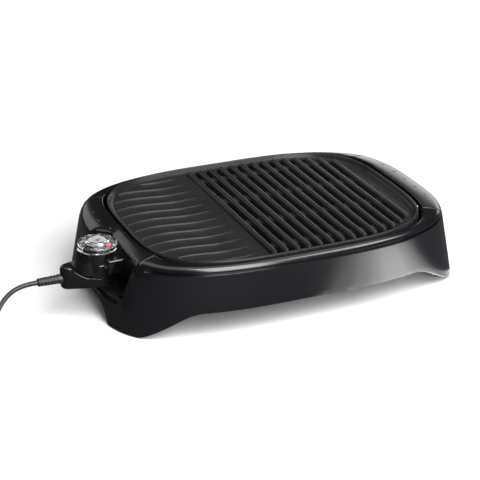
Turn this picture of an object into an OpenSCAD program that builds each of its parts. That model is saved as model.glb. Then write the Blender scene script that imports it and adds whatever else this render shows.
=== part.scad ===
// Electric indoor grill: a slotted cooking grid with two bolted-on handles stands in a black
// base over a lift-out drip tray, and a plug-in temperature control feeds it from the left end.
// X runs along the length, Y towards the back, Z up. The origin is on the table, under the
// middle of the whole product without its cord.

/* [Base] */
// Length of the base where it stands
foot_len = 454; // [448:1:460]
// Width of the base where it stands
foot_wid = 310; // [306:1:314]
// Length over the round edge of the rim
rim_len = 429; // [425:1:432]
// Width over the round edge of the rim
rim_wid = 300; // [298:1:303]
// Height of the round edge of the rim
rim_z = 82.5; // [81.5:0.5:83.5]
// Wall thickness of the base moulding
base_wall = 2.6; // [2.2:0.2:3]
// Height of the long arches at the front and back
side_arch = 32; // [28:1:32]
// Height of the short arches at the ends
end_arch = 22; // [18:1:22]
// Height of the top of the floor inside
floor_z = 35; // [35:0.5:36]

/* [Cooking grid] */
// Length over the raised border
grid_len = 352; // [350:1:353]
// Width over the raised border
grid_wid = 280; // [278:1:281]
// Height of the top of the border
border_z = 88.8; // [88:0.1:89.5]
// Distance between the cooking bars
bar_pitch = 14.5; // [14:0.5:15]
// Number of cooking bars
bar_count = 14; // [11:1:14]
// Width of a grease slot
slot_w = 6.8; // [5:0.2:7]
// Number of wavy ribs at the solid end
wave_count = 12; // [10:1:12]

/* [Handles] */
// Distance between the two end seams of a handle
handle_span = 184; // [180:1:186]
// Thickness of a handle's shell
handle_wall = 2.6; // [2.4:0.1:2.8]
// Height of a handle's lower edge
handle_z = 60; // [60:0.5:62]

/* [Drip tray] */
// Length of the tray over its lip
tray_len = 316; // [308:1:318]
// Width of the tray over its lip
tray_wid = 282; // [276:1:283]
// Height of the tray
tray_h = 17; // [14:0.5:17]

/* [Temperature control] */
// Distance from the grid's middle line to the control's own axis
probe_offset = 37; // [35:1:39]
// Height of the sensor tube
sensor_z = 66; // [65:0.5:66.5]
// Diameter of the round housing under the knob
turret_d = 37; // [36:0.5:38]
// Diameter over the lobes of the knob
knob_d = 46.5; // [45:0.5:48]
// Number of lobes round the knob
knob_lobes = 8; // [6:1:10]
// Diameter of the sensor tube
sensor_d = 6.3; // [6:0.1:6.4]

/* [Cord] */
// Diameter of the cord
cord_d = 5.5; // [5.3:0.1:5.6]

/* [Hidden] */

$fn = 48;
housing_tail = 267; // how far the housing reaches left of the base's middle

// Base outline
foot_n = 3.4; // squareness of the outline on the table
rim_n = 3.05; // squareness of the outline at the rim
base_steps = 120;
hem_gap = 1.2; // the moulding stops this far above the table
skirt_top = 75.5;
leg_x = foot_len / 2 - 25; // where a leg ends along the front
leg_rise = 65; // over this length the hem climbs to the arch
leg_y = 68; // where a leg ends along a side
end_rise = 33;
floor_t = 2.4;

// Grid outline
grid_n = 3.575;
border_gap = 4; // from the border's ridge to the rim at the front and back
end_gap = 6.3; // from the border's ridge to the handles
plate_top = 82.4;
plate_t = 3.4;
bar_top = 86.4;
bar_x0 = -42; // first bar
slot_rows = [[-131, -109], [-99, -41], [-29, 29], [41, 99], [109, 131]];
element_z = plate_top - plate_t - 3.6;
element_r = 3.5;
run_out = 104; // outer heater runs, each side of the middle line
run_in = 35; // inner heater runs
pin_gap = 14; // from the sensor to each terminal pin

// Places on the control
knob_x = -222;
probe_y = -probe_offset;
split_z = 54; // height where the two housing shells meet
turret_top = 84.8;
shoulder_z = 69; // top of the control's tail and of the step round its turret

// Handle fixings and seams
seam_slope = 0.265; // the seams run outwards away from the middle by this much
seam_run = 24; // length of rim over which it sinks from the handle's level to its own
lug_x = 186;
lug_y = 66;

// Cord route from the strain relief to the coil, then the coil's own sizes
cord_r = cord_d / 2;
coil_z = cord_r + 1.25;
route = [
    [-294, -37, 54], [-300, -37, 54], [-311, -37, 53], [-322, -38, 50], [-332, -40, 44],
    [-341, -44, 36], [-348, -50, 27], [-354, -58, 18], [-359, -67, 10], [-364, -76, 5.5],
    [-370, -84, 4], [-378, -91, 4], [-387, -96, 4], [-396, -98, 4]
];
coil_at = [-402, -62];
coil_r = 36;
coil_turns = 4.25;
coil_pitch = 6.1;
coil_lead = 6;
coil_swing = 8; // the last stretch leads away from the turns by this much
coil_tail = 36;

black = [0.09, 0.09, 0.1];
charcoal = [0.2, 0.2, 0.21];

// ---------- small helpers ----------
function mix(a, b, k) = a + (b - a) * k;
function clamp(v) = min(1, max(0, v));
function smooth(v) = let (u = clamp(v)) u * u * (3 - 2 * u);
function ring(n, r) = [for (i = [0:n - 1]) r * [cos(360 * i / n), sin(360 * i / n)]];
function arc(c, r, a, b, n) = [for (i = [0:n]) c + r * [cos(mix(a, b, i / n)), sin(mix(a, b, i / n))]];

// Distance from the middle to a squared oval, in direction t
function oval_r(a, b, n, t) = pow(pow(abs(cos(t)) / a, n) + pow(abs(sin(t)) / b, n), -1 / n);
function oval(a, b, n, steps) = [
    for (i = [0:steps - 1]) let (t = 360 * i / steps) oval_r(a, b, n, t) * [cos(t), sin(t)]
];

// The base's middle, seen from the origin
base_reach = max([for (i = [0:base_steps - 1]) let (t = 360 * i / base_steps) skirt_r(t, hem_z(t)) * cos(t)]);
centre_x = (housing_tail - base_reach) / 2;

module placed() {
    translate([centre_x, 0, 0]) children();
}

module corners() {
    for (mx = [0, 1], my = [0, 1]) mirror([mx, 0, 0]) mirror([0, my, 0]) children();
}

// A closed band: every section is the same closed outline, and the last joins the first
module band(sections) {
    n = len(sections);
    m = len(sections[0]);
    points = [for (s = sections) for (p = s) p];
    faces = [
        for (i = [0:n - 1], j = [0:m - 1])
            let (a = i * m + j, b = i * m + (j + 1) % m)
            let (d = ((i + 1) % n) * m + j, c = ((i + 1) % n) * m + (j + 1) % m)
            for (f = [[a, b, c], [a, c, d]]) f
    ];
    polyhedron(points, faces);
}

// An open run of sections with a flat cap at each end
module run(sections) {
    n = len(sections);
    m = len(sections[0]);
    points = [for (s = sections) for (p = s) p];
    sides = [
        for (i = [0:n - 2], j = [0:m - 1])
            let (a = i * m + j, b = i * m + (j + 1) % m)
            let (d = (i + 1) * m + j, c = (i + 1) * m + (j + 1) % m)
            for (f = [[a, b, c], [a, c, d]]) f
    ];
    first = [for (j = [m - 1:-1:0]) j];
    last = [for (j = [0:m - 1]) (n - 1) * m + j];
    polyhedron(points, concat([first], sides, [last]));
}

// A stack of rings from the underside up the outside, and down the inside of a dish
module dish(rings) {
    n = len(rings);
    m = len(rings[0]);
    points = [for (s = rings) for (p = s) p];
    sides = [
        for (i = [0:n - 2], j = [0:m - 1])
            let (a = i * m + j, b = (i + 1) * m + j)
            let (d = i * m + (j + 1) % m, c = (i + 1) * m + (j + 1) % m)
            for (f = [[a, b, c], [a, c, d]]) f
    ];
    first = [for (j = [0:m - 1]) j];
    last = [for (j = [m - 1:-1:0]) (n - 1) * m + j];
    polyhedron(points, concat([first], sides, [last]));
}

// Rings of a round tube along a path
function unit(v) = v / norm(v);
function heading(path, i) = unit(path[min(i + 1, len(path) - 1)] - path[max(i - 1, 0)]);
function tube_rings(path, r, sides) = [
    for (i = [0:len(path) - 1])
        let (t = heading(path, i), right = unit(cross(t, [0, 0, 1])), up = cross(right, t))
        [for (k = [0:sides - 1]) path[i] + r * (cos(360 * k / sides) * right + sin(360 * k / sides) * up)]
];

// Two points for every one of a route, on a smooth curve through them
function route_point(p, i) = p[min(max(i, 0), len(p) - 1)];
function between(p, i) = (9 * (route_point(p, i) + route_point(p, i + 1))
    - route_point(p, i - 1) - route_point(p, i + 2)) / 16;
function refined(p) = [
    for (i = [0:len(p) - 1]) for (k = [0, 1]) if (k == 0 || i < len(p) - 1) k == 0 ? p[i] : between(p, i)
];
function path_length(p) = len(p) < 2 ? 0 : let (d = [for (i = [1:len(p) - 1]) norm(p[i] - p[i - 1])])
    d * [for (v = d) 1];

// ---------- base ----------
function skirt_r(t, z) = let (k = z / rim_z)
    oval_r(mix(foot_len, rim_len, k) / 2, mix(foot_wid, rim_wid, k) / 2, mix(foot_n, rim_n, k), t);
function gap_r(t) = oval_r(grid_len / 2 - 1 + end_gap, grid_wid / 2 - 1 + border_gap, grid_n, t);
function side_lift(x) = let (u = clamp((leg_x - abs(x)) / leg_rise))
    side_arch * (smooth(u) + 1 - pow(1 - u, 2)) / 2;
function end_lift(y) = let (u = clamp((leg_y - abs(y)) / end_rise)) end_arch * (1 - pow(1 - u, 2));
function hem_z(t) = let (r = skirt_r(t, 0)) hem_gap - 0.7 + max(side_lift(r * cos(t)), end_lift(r * sin(t)));

// How far the rim has risen to lie flush with a handle: 1 at a seam, 0 past seam_run
function flush(t, edge) = 1 - smooth((abs(edge * sin(t)) - handle_span / 2 - 2) / seam_run);
// Skirt, groove, round rim and its inner lip, as distance from the middle and height
function base_section(t) = let (
    h = hem_z(t), top = skirt_top, edge = skirt_r(t, rim_z), lip = gap_r(t), w = base_wall,
    half = (h + top) / 2, e = skirt_r(t, 80), k = flush(t, edge),
    bead = [
        [edge - 0.4, top + 1.5], [edge - 2.2, top + 2.3], [edge - 2.2, top + 3.5], [edge - 0.8, top + 4.3],
        [edge, rim_z - 0.2], [edge - 1.1, rim_z + 1.9], [edge - 3.4, rim_z + 3],
        [mix(edge - 3.4, lip + 0.8, 0.5), rim_z + 3.3], [lip + 0.8, rim_z + 2.9], [lip, rim_z + 1.7]
    ],
    level = [
        [e - 0.5, 77], [mix(e, lip, 0.03), 79], [mix(e, lip, 0.05), 81], [mix(e, lip, 0.1), 82.8],
        [mix(e, lip, 0.15), 84.2], [mix(e, lip, 0.3), 86.2], [mix(e, lip, 0.52), 87.5],
        [mix(e, lip, 0.8), border_z - 0.1], [lip + 1, border_z + 0.3], [lip, border_z - 0.6]
    ]
) concat(
    [[skirt_r(t, h), h], [skirt_r(t, half), half], [skirt_r(t, top), top]],
    [for (i = [0:len(bead) - 1]) mix(bead[i], level[i], k)],
    [
        [lip, rim_z - 1.5], [lip + 1.3, rim_z - 1.5], [mix(edge - 4.6, lip + 1.3, 0.5), rim_z + 0.3],
        [edge - 4.6, rim_z - 1.9], [skirt_r(t, top - 2) - w, top - 2], [skirt_r(t, half) - w, half],
        [skirt_r(t, h) - w, h]
    ]
);
function turned(section, t) = [for (p = section) [p[0] * cos(t), p[0] * sin(t), p[1]]];

module skirt_area(z, inset) {
    polygon([
        for (i = [0:base_steps - 1]) let (t = 360 * i / base_steps) (skirt_r(t, z) - inset) * [cos(t), sin(t)]
    ]);
}

// The leg's pocket, seen from above, lies square to the corner that it stands under
module leg_area(inset) {
    translate([214, 93]) rotate(25) translate([-23 + inset, -27 + inset]) square([50 - inset, 54 - 2 * inset]);
}

module port_area(inset) {
    translate([-250, probe_y - 50 + inset]) square([62 - inset, 100 - 2 * inset]);
}

// Half outline of the notch that the temperature control plugs in through
port_half = concat([[55, 96], [53.5, 72], [51, 58], [49, 46]], arc([34, 44], 15, -10, -80, 5), [[16, 27.6]]);

module port_outline() {
    polygon(concat(port_half, [for (i = [len(port_half) - 1:-1:0]) [-port_half[i][0], port_half[i][1]]]));
}

// A handle from above, between its two slanted end seams
module handle_area(gap) {
    near = handle_span / 2 - 30 * seam_slope + gap;
    far = handle_span / 2 + 80 * seam_slope + gap;
    polygon([[-150, -near], [-260, -far], [-260, far], [-150, near]]);
}

module base_shell() {
    color(black) placed() difference() {
        union() {
            band([for (i = [0:base_steps - 1]) let (t = 360 * i / base_steps) turned(base_section(t), t)]);
            translate([0, 0, floor_z - floor_t]) linear_extrude(floor_t) skirt_area(floor_z, 1.3);
            // posts that carry the grid
            corners() translate([163, 71, floor_z - 1]) cube([14, 8, 72 - floor_z + 0.95]);
            // bottom and walls of the recess under the temperature control
            translate([0, 0, 24.6]) linear_extrude(2.4) intersection() {
                skirt_area(28, 1.3);
                port_area(0);
            }
            translate([0, 0, 25]) linear_extrude(floor_z - 26) intersection() {
                skirt_area(floor_z, 1.3);
                difference() {
                    port_area(0);
                    port_area(2.4);
                }
            }
            corners() {
                translate([0, 0, 2.2]) linear_extrude(2.4) intersection() {
                    skirt_area(6, 1.3);
                    leg_area(0);
                }
                translate([0, 0, 2.6]) linear_extrude(floor_z - 4) intersection() {
                    skirt_area(floor_z, 1.3);
                    difference() {
                        leg_area(0);
                        leg_area(2.4);
                    }
                }
            }
        }
        // openings in the floor over the legs and over the recess
        translate([0, 0, floor_z - 3]) linear_extrude(8) intersection() {
            skirt_area(floor_z + 6, base_wall + 1);
            union() {
                corners() leg_area(2.4);
                port_area(2.4);
            }
        }
        // room for the two handles
        for (s = [0, 1]) mirror([s, 0, 0]) translate([0, 0, handle_z - 0.8]) linear_extrude(60) handle_area(0.3);
        // notch at the left end
        translate([-245, probe_y, 0]) rotate([90, 0, 90]) linear_extrude(45) port_outline();
        // finger scoop at the right end
        translate([200, 0, 0]) rotate([90, 0, 90]) linear_extrude(45)
            polygon(concat(arc([34, 54], 14, 0, -90, 6), arc([-34, 54], 14, -90, -180, 6), [[-48, 70], [48, 70]]));
        corners() translate([foot_place[0], foot_place[1], 0]) cylinder(r = 3, h = 8);
    }
}

foot_place = [206, 88];

// Rubber feet: a pad below the plate and a barbed stem through it
module rubber_feet() {
    color([0.16, 0.16, 0.16]) placed() corners() translate([foot_place[0], foot_place[1], 0])
        rotate_extrude() polygon([
            [0, 0], [5.6, 0], [6.6, 0.7], [6.6, 2.2], [2.95, 2.2], [2.95, 4.65], [4, 4.65], [2.2, 7], [0, 7]
        ]);
}

// ---------- drip tray ----------
tray_n = 3.6;
function tray_ring(inset, z) = [
    for (p = oval(tray_len / 2 - inset, tray_wid / 2 - inset, tray_n, 72)) [p[0], p[1], z]
];

module drip_tray() {
    color([0.13, 0.13, 0.14]) placed() dish([
        tray_ring(16, floor_z), tray_ring(13, floor_z + 1.2), tray_ring(3.4, floor_z + tray_h - 2.4),
        tray_ring(0.3, floor_z + tray_h - 2.2), tray_ring(0, floor_z + tray_h - 0.8),
        tray_ring(1, floor_z + tray_h), tray_ring(4.4, floor_z + tray_h - 0.8),
        tray_ring(14.6, floor_z + 3), tray_ring(17, floor_z + 2)
    ]);
}

// ---------- cooking grid ----------
// The border as distance outside the ridge line and height
border_section = [
    [1.4, 72], [1.8, 86.6], [1, border_z - 0.3], [0, border_z], [-1.2, border_z - 0.5],
    [-2.4, border_z - 2.6], [-3.8, plate_top + 0.8], [-6, plate_top - 0.2], [-6, plate_top - plate_t + 0.2],
    [-2.2, plate_top - plate_t - 1], [-1.6, 72]
];
function border_ring(t) = [
    for (p = border_section)
        let (r = oval_r(grid_len / 2 - 1 + p[0], grid_wid / 2 - 1 + p[0], grid_n, t)) [r * cos(t), r * sin(t), p[1]]
];
// Half the room along Y inside the border, less a margin
function room_y(x, margin) = (grid_wid / 2 - margin)
    * pow(max(0, 1 - pow(abs(x) / (grid_len / 2 - margin), grid_n)), 1 / grid_n);

// All bars in one pull along Y, cut to length by the border's line
bar_edge = [[-3.8, -0.6], [-3.5, 2.2], [-2.6, 4], [-1.8, 4.4], [1.8, 4.4], [2.6, 4], [3.5, 2.2], [3.8, -0.6]];
module cooking_bars() {
    intersection() {
        translate([0, grid_wid / 2, plate_top]) rotate([90, 0, 0]) linear_extrude(grid_wid)
            for (k = [0:bar_count - 1]) translate([bar_x0 + bar_pitch * k, 0]) polygon(bar_edge);
        translate([0, 0, plate_top - 2]) linear_extrude(10) polygon(oval(grid_len / 2 - 7.7, grid_wid / 2 - 7.7, grid_n, 60));
    }
}

// A rib that waves along X from the left border to the bars
function wave_y(x) = 3.4 * sin((x + 168) * 3.4);
module wavy_rib(y) {
    x_from = -(grid_len / 2 - 9) * pow(1 - pow(abs(y) / (grid_wid / 2 - 9), grid_n), 1 / grid_n);
    x_to = bar_x0 - 18;
    steps = 14;
    edge = [for (i = [0:steps]) let (x = mix(x_from, x_to, i / steps)) [x, y + wave_y(x)]];
    translate([0, 0, plate_top - 0.3]) linear_extrude(3.4)
        polygon(concat([for (p = edge) p + [0, -1.5]], [for (i = [steps:-1:0]) edge[i] + [0, 1.5]]));
}

module slots() {
    for (k = [0:bar_count - 2]) {
        x = bar_x0 + bar_pitch * (k + 0.5);
        reach = room_y(abs(x) + slot_w / 2, 9.6);
        for (row = slot_rows) {
            low = max(row[0], -reach);
            high = min(row[1], reach);
            if (high - low > slot_w) translate([x - slot_w / 2, low]) square([slot_w, high - low]);
        }
    }
}

clip_places = [[-85, run_out, 0], [-85, -run_out, 0], [-85, run_in, 0], [-85, -run_in, 0], [140, 40, 90], [140, -40, 90]];

module grid_plate() {
    steps = 90;
    color(charcoal) placed() difference() {
        union() {
            band([for (i = [0:steps - 1]) border_ring(360 * i / steps)]);
            translate([0, 0, plate_top - plate_t]) linear_extrude(plate_t) difference() {
                polygon(oval(grid_len / 2 - 5.6, grid_wid / 2 - 5.6, grid_n, steps));
                slots();
            }
            cooking_bars();
            for (k = [0:wave_count - 1]) wavy_rib(-121 + 22 * k);
            // boss of the sensor well and the pad that carries the terminals
            translate([-176, probe_y - 5, sensor_z]) cube([53, 10, plate_top - plate_t - sensor_z + 0.4]);
            translate([-176, probe_y, sensor_z]) rotate([0, 90, 0]) cylinder(r = 6.5, h = 54);
            translate([-177, probe_y - 22, 57]) cube([7, 44, plate_top - 57]);
            // screw bosses for the heater's clips
            for (c = clip_places) translate([c[0], c[1], element_z - element_r]) rotate(c[2])
                for (s = [-1, 1]) translate([0, 10.5 * s, 0]) cylinder(r = 4, h = 8);
            // lugs that carry the handles
            corners() translate([lug_x - 14, lug_y - 5.5, 72]) cube([21, 11, 4]);
        }
        translate([-180, probe_y, sensor_z]) rotate([0, 90, 0]) cylinder(d = sensor_d + 0.1, h = 53);
        for (s = [-1, 1]) translate([-180, probe_y + s * pin_gap, sensor_z]) rotate([0, 90, 0])
            cylinder(r = element_r + 1.2, h = 15);
        for (c = clip_places) translate([c[0], c[1], element_z - element_r - 1]) rotate(c[2])
            for (s = [-1, 1]) translate([0, 10.5 * s, 0]) cylinder(r = 1.5, h = 6.5);
        corners() translate([lug_x, lug_y, 70]) cylinder(r = 2.2, h = 8);
        for (s = [-1, 1]) translate([-180, probe_y + s * 19, sensor_z + 6.5]) rotate([0, 90, 0]) cylinder(r = 1.3, h = 9);
    }
}

// One sheathed rod from pin to pin, bent into two long hairpins under the bars
function flat_arc(c, r, a, b, n) = [for (p = arc(c, r, a, b, n)) [p[0], p[1], element_z]];
heater_far = 110; // where the outer bends at the right start
heater_path = concat(
    [[-172, probe_y - pin_gap, sensor_z], [-163, probe_y - pin_gap, sensor_z]],
    [[-159, probe_y - pin_gap, sensor_z + 1.4], [-151, probe_y - pin_gap, element_z - 1.4]],
    flat_arc([-146, probe_y - pin_gap - 14], 14, 90, 0, 3),
    flat_arc([-118, -run_out + 14], 14, 180, 270, 3),
    flat_arc([heater_far, -run_out + 30], 30, -90, 0, 5),
    flat_arc([heater_far, run_out - 30], 30, 0, 90, 5),
    flat_arc([-118, (run_out + run_in) / 2], (run_out - run_in) / 2, 90, 270, 9),
    flat_arc([80, 0], run_in, 90, -90, 9),
    [[-104, -run_in, element_z], [-110, -run_in + 2, element_z], [-118, probe_y + pin_gap - 2, element_z]],
    [[-124, probe_y + pin_gap, element_z], [-143, probe_y + pin_gap, element_z]],
    [[-151, probe_y + pin_gap, element_z - 1.4], [-159, probe_y + pin_gap, sensor_z + 1.4]],
    [[-163, probe_y + pin_gap, sensor_z], [-172, probe_y + pin_gap, sensor_z]]
);

module heating_element() {
    color([0.45, 0.43, 0.42]) placed() run(tube_rings(heater_path, element_r, 10));
}

module along_x(x, y, z) {
    translate([x, y, z]) rotate([0, 90, 0]) children();
}

// Terminal pins: a rounded nose, a shank and a collar that stops against the heater's end
module terminal_pins() {
    color([0.75, 0.75, 0.76]) placed() for (s = [-1, 1]) along_x(-195, probe_y + s * pin_gap, sensor_z)
        rotate_extrude() polygon([[0, 0], [1.4, 0], [2.4, 1.6], [2.4, 20], [3, 20], [3, 22.9], [0, 22.9]]);
}

// Ceramic beads round the pins where they leave the casting
module pin_insulators() {
    color([0.92, 0.9, 0.84]) placed() for (s = [-1, 1]) along_x(-179.5, probe_y + s * pin_gap, sensor_z)
        rotate_extrude() polygon([[2.45, 0], [3.8, 0], [4.6, 0.9], [4.6, 4.3], [2.45, 4.3]]);
}

module element_clips() {
    color([0.7, 0.7, 0.7]) placed() for (c = clip_places)
        translate([c[0], c[1], element_z - element_r - 1.05]) rotate(c[2]) difference() {
            translate([-5, -15, 0]) cube([10, 30, 1]);
            for (s = [-1, 1]) translate([0, 10.5 * s, -1]) cylinder(r = 1.7, h = 3);
        }
}

module clip_screws() {
    color([0.8, 0.8, 0.8]) placed() for (c = clip_places)
        translate([c[0], c[1], element_z - element_r - 1.1]) rotate(c[2])
            for (s = [-1, 1]) translate([0, 10.5 * s, 0]) rotate_extrude()
                polygon([[0, -1.8], [1.9, -1.8], [2.8, -0.8], [2.8, 0], [1.45, 0], [1.45, 5.6], [0, 6.4]]);
}

// Guard round the pins: a box, open towards the control
module socket_shroud() {
    color([0.12, 0.12, 0.12]) placed() translate([-196, probe_y, sensor_z]) difference() {
        translate([0, -23, -11]) cube([19, 46, 22]);
        translate([-1, -21.4, -9.4]) cube([18.4, 42.8, 18.8]);
        along_x(10, 0, 0) cylinder(r = 3.6, h = 12);
        for (s = [-1, 1]) along_x(10, s * pin_gap, 0) cylinder(r = 4.8, h = 12);
        for (s = [-1, 1]) along_x(10, s * 19, 6.5) cylinder(r = 1.6, h = 12);
    }
}

module shroud_screws() {
    color([0.8, 0.8, 0.8]) placed() for (s = [-1, 1]) along_x(-178.65, probe_y + s * 19, sensor_z + 6.5)
        rotate_extrude() polygon([[0, -1.1], [1.4, -1.1], [2.2, -0.5], [2.2, 0], [1.25, 0], [1.25, 6.6], [0, 7.2]]);
}

// ---------- handles ----------
handle_steps = 26;
scoop_x = 197; // the left handle is cut back to here, beside the control
// Outer edge of a handle; the left one is cut back beside the temperature control
function handle_r(t, z, cut) = let (r = skirt_r(t, z), y = r * sin(t))
    cut ? mix(min(r, scoop_x / abs(cos(t))), r, smooth((y + 12) / 28)) : r;

function handle_section(t, cut) = let (
    lip = gap_r(t), w = handle_wall, top = border_z, e = handle_r(t, 80, cut)
) [
    [handle_r(t, handle_z, cut), handle_z], [handle_r(t, 72, cut), 72], [handle_r(t, 77, cut) - 0.5, 77],
    [mix(e, lip, 0.05), 81], [mix(e, lip, 0.15), 84.2], [mix(e, lip, 0.3), 86.2], [mix(e, lip, 0.52), 87.5],
    [mix(e, lip, 0.8), top - 0.1], [lip + 1, top + 0.3], [lip, top - 0.6], [lip, 81],
    [lip + 2.2, 81], [lip + 2.4, top - 2.9], [mix(e, lip, 0.8), top - 2.9], [mix(e, lip, 0.52), 84.8],
    [mix(e, lip, 0.32), 83.5], [mix(e, lip, 0.2) - 0.6, 81.2], [mix(e, lip, 0.1) - 1.2, 77],
    [handle_r(t, 72, cut) - w, 72], [handle_r(t, handle_z, cut) - w, handle_z]
];

module handle(cut) {
    intersection() {
        run([
            for (i = [0:handle_steps]) let (t = 180 + mix(-32, 32, i / handle_steps))
                turned(handle_section(t, cut), t)
        ]);
        translate([0, 0, 50]) linear_extrude(60) handle_area(0);
    }
}

module handle_pillars() {
    for (s = [-1, 1]) translate([-lug_x, s * lug_y, 76.02]) cylinder(r = 4.6, h = 9.6);
}

module pillar_bores() {
    for (s = [-1, 1]) translate([-lug_x, s * lug_y, 74]) cylinder(r = 1.6, h = 10);
}

// A row of finger dimples along the top
module dimples(cut) {
    for (y = [-54:27:54]) {
        t = 180 + asin(y / 200);
        r = mix(handle_r(t, 80, cut), gap_r(t), 0.5);
        translate([r * cos(t), r * sin(t), border_z + 2.2]) sphere(r = 4.2);
    }
}

module left_handle() {
    color([0.22, 0.22, 0.23]) placed() difference() {
        union() {
            handle(true);
            handle_pillars();
        }
        pillar_bores();
        dimples(true);
        // way in for the control's nose
        translate([-215, probe_y - 25, 50]) cube([25, 50, 30]);
    }
}

module right_handle() {
    color([0.22, 0.22, 0.23]) placed() mirror([1, 0, 0]) difference() {
        union() {
            handle(false);
            handle_pillars();
        }
        pillar_bores();
        dimples(false);
    }
}

module handle_screws() {
    color([0.8, 0.8, 0.8]) placed() corners() translate([lug_x, lug_y, 71.95]) rotate_extrude()
        polygon([[0, -2.2], [2.6, -2.2], [3.9, -1], [3.9, 0], [1.55, 0], [1.55, 10.4], [0, 11.4]]);
}

// ---------- temperature control ----------
// Drop-shaped outline round the knob's axis with its tail towards the cord
tail_r = 9;
tail_x = knob_x + housing_tail - tail_r;
function drop(inset, steps) = let (r = turret_d / 2 + 0.9 - inset, q = tail_r - inset)
    let (lean = asin((r - q) / tail_x))
    [
        for (i = [0:steps - 1]) let (a = 360 * (i + 0.5) / steps)
            abs(a - 180) < 90 - lean ? [q * cos(a) - tail_x, q * sin(a)] : [r * cos(a), r * sin(a)]
    ];
function drop_ring(inset, z) = [for (p = drop(inset, 44)) [p[0], p[1], z]];

module at_knob() {
    placed() translate([knob_x, probe_y, 0]) children();
}

module nose(inset, x_end) {
    translate([6, -20 + inset, sensor_z - 8.4 + inset]) cube([x_end - 6, 40 - 2 * inset, 16.8 - 2 * inset]);
}

module tail_bore() {
    along_x(-50, 0, split_z) cylinder(r = 5.6, h = 16);
}

// Round hollow between the tail's end and the turret, open to the front
module thumb_scoop() {
    translate([-19, -13, split_z + 19.5]) rotate([0, 0, 28.4]) rotate([-62.2, 0, 0])
        translate([0, 0, -30]) cylinder(r = 15.5, h = 80, $fn = 72);
}

screw_places = [[-27, 0], [9, 13], [9, -13]];

module control_upper_shell() {
    color(black) at_knob() difference() {
        union() {
            difference() {
                dish([
                    drop_ring(0, split_z), drop_ring(0, shoulder_z - 3.2), drop_ring(0.9, shoulder_z - 1.1),
                    drop_ring(3, shoulder_z)
                ]);
                thumb_scoop();
            }
            cylinder(d = turret_d, h = turret_top);
            translate([0, 0, shoulder_z - 1]) cylinder(r1 = turret_d / 2 + 0.7, r2 = turret_d / 2, h = 2.4);
            // the turret leans out towards the tail
            translate([-12, 0, split_z + 6]) cylinder(r1 = 15.6, r2 = 12.6, h = turret_top - split_z - 6);
            nose(0, 41.5);
        }
        translate([0, 0, -1]) cylinder(d = turret_d + 10, h = split_z + 1);
        // hollow inside, and the seat of the cord sleeve's collar
        translate([0, 0, split_z - 1]) cylinder(d = turret_d - 4.4, h = turret_top - split_z - 1.2);
        nose(1.6, 39.9);
        // spindle, sleeves and sensor come out here
        translate([0, 0, 70]) cylinder(r = 3.06, h = 20);
        along_x(36, 0, sensor_z) cylinder(d = sensor_d + 0.1, h = 8);
        for (s = [-1, 1]) along_x(36, s * pin_gap, sensor_z) cylinder(r = 2.9, h = 8);
        translate([13.5, 0, 80]) cylinder(r = 2.1, h = 8);
        tail_bore();
        along_x(-34.9, 0, split_z) cylinder(r = 6.8, h = 2.8);
    }
}

module control_lower_shell() {
    color(black) at_knob() difference() {
        union() {
            difference() {
                dish([drop_ring(4.4, 41.6), drop_ring(1.6, 43), drop_ring(0, 46.4), drop_ring(0, split_z)]);
                translate([0, 0, 44.4]) linear_extrude(12) polygon(drop(2, 44));
            }
            for (p = screw_places) translate([p[0], p[1], 43.4]) cylinder(r = 3, h = split_z - 43.5);
        }
        for (p = screw_places) translate([p[0], p[1], 40]) {
            cylinder(r = 1.25, h = 20);
            cylinder(r = 2.5, h = 5.5);
        }
        tail_bore();
    }
}

module control_screws() {
    color([0.75, 0.75, 0.75]) at_knob() for (p = screw_places) translate([p[0], p[1], 45.45]) rotate_extrude()
        polygon([[0, -1.6], [1.3, -1.6], [2.2, -0.6], [2.2, 0], [1.2, 0], [1.2, 8.3], [0, 8.5]]);
}

// Closed steel tube that slides into the well under the grid
module sensor_tube() {
    color([0.8, 0.8, 0.82]) at_knob() along_x(28, 0, sensor_z) rotate_extrude()
        polygon([[0, 0], [4.6, 0], [4.6, 2], [sensor_d / 2, 2], [sensor_d / 2, 63], [sensor_d / 2 - 1.4, 65], [0, 65]]);
}

// Moulded block that holds the two sleeves and the sensor in the nose
module contact_carrier() {
    color([0.5, 0.33, 0.2]) at_knob() difference() {
        translate([10, -17.8, sensor_z - 6.4]) cube([18, 35.6, 12.6]);
        for (s = [-1, 1]) along_x(5, s * pin_gap, sensor_z) cylinder(r = 3.85, h = 30);
        along_x(5, 0, sensor_z) cylinder(r = 2, h = 30);
        translate([8, -5, sensor_z - 10]) cube([6, 10, 20]);
    }
}

module contact_sleeves() {
    color([0.83, 0.66, 0.3]) at_knob() for (s = [-1, 1]) along_x(12, s * pin_gap, sensor_z) difference() {
        cylinder(r = 3.8, h = 26);
        translate([0, 0, 6]) cylinder(r = 2.47, h = 24);
        translate([-0.5, -6, 15]) cube([1, 12, 20]);
    }
}

// Two springy strips with silver buttons that open and close the circuit
module switch_blades() {
    color([0.83, 0.66, 0.3]) at_knob() for (s = [0, 1]) {
        translate([-10, -8, 63.5 + 4 * s]) cube([19.8, 5, 0.6]);
        translate([-7, -5.5, 64.1 + 2.5 * s]) cylinder(r = 1.8, h = 0.9);
    }
}

module bimetal_arm() {
    color([0.7, 0.6, 0.5]) at_knob() {
        translate([-13, 2.5, 62]) cube([22.8, 6, 0.9]);
        translate([-13, 2.5, 62.9]) cube([1, 6, 6]);
    }
}

module indicator_lamp() {
    color([0.95, 0.25, 0.15]) at_knob() translate([13.5, 0, 73.2]) union() {
        cylinder(r = 2, h = 12);
        translate([0, 0, 12]) sphere(r = 2, $fn = 32);
    }
}

// ---------- knob ----------
function lobes(r, steps) = [
    for (i = [0:steps - 1]) let (a = 360 * i / steps) (r - 0.9 + 0.9 * cos(knob_lobes * a)) * [cos(a), sin(a)]
];

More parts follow.
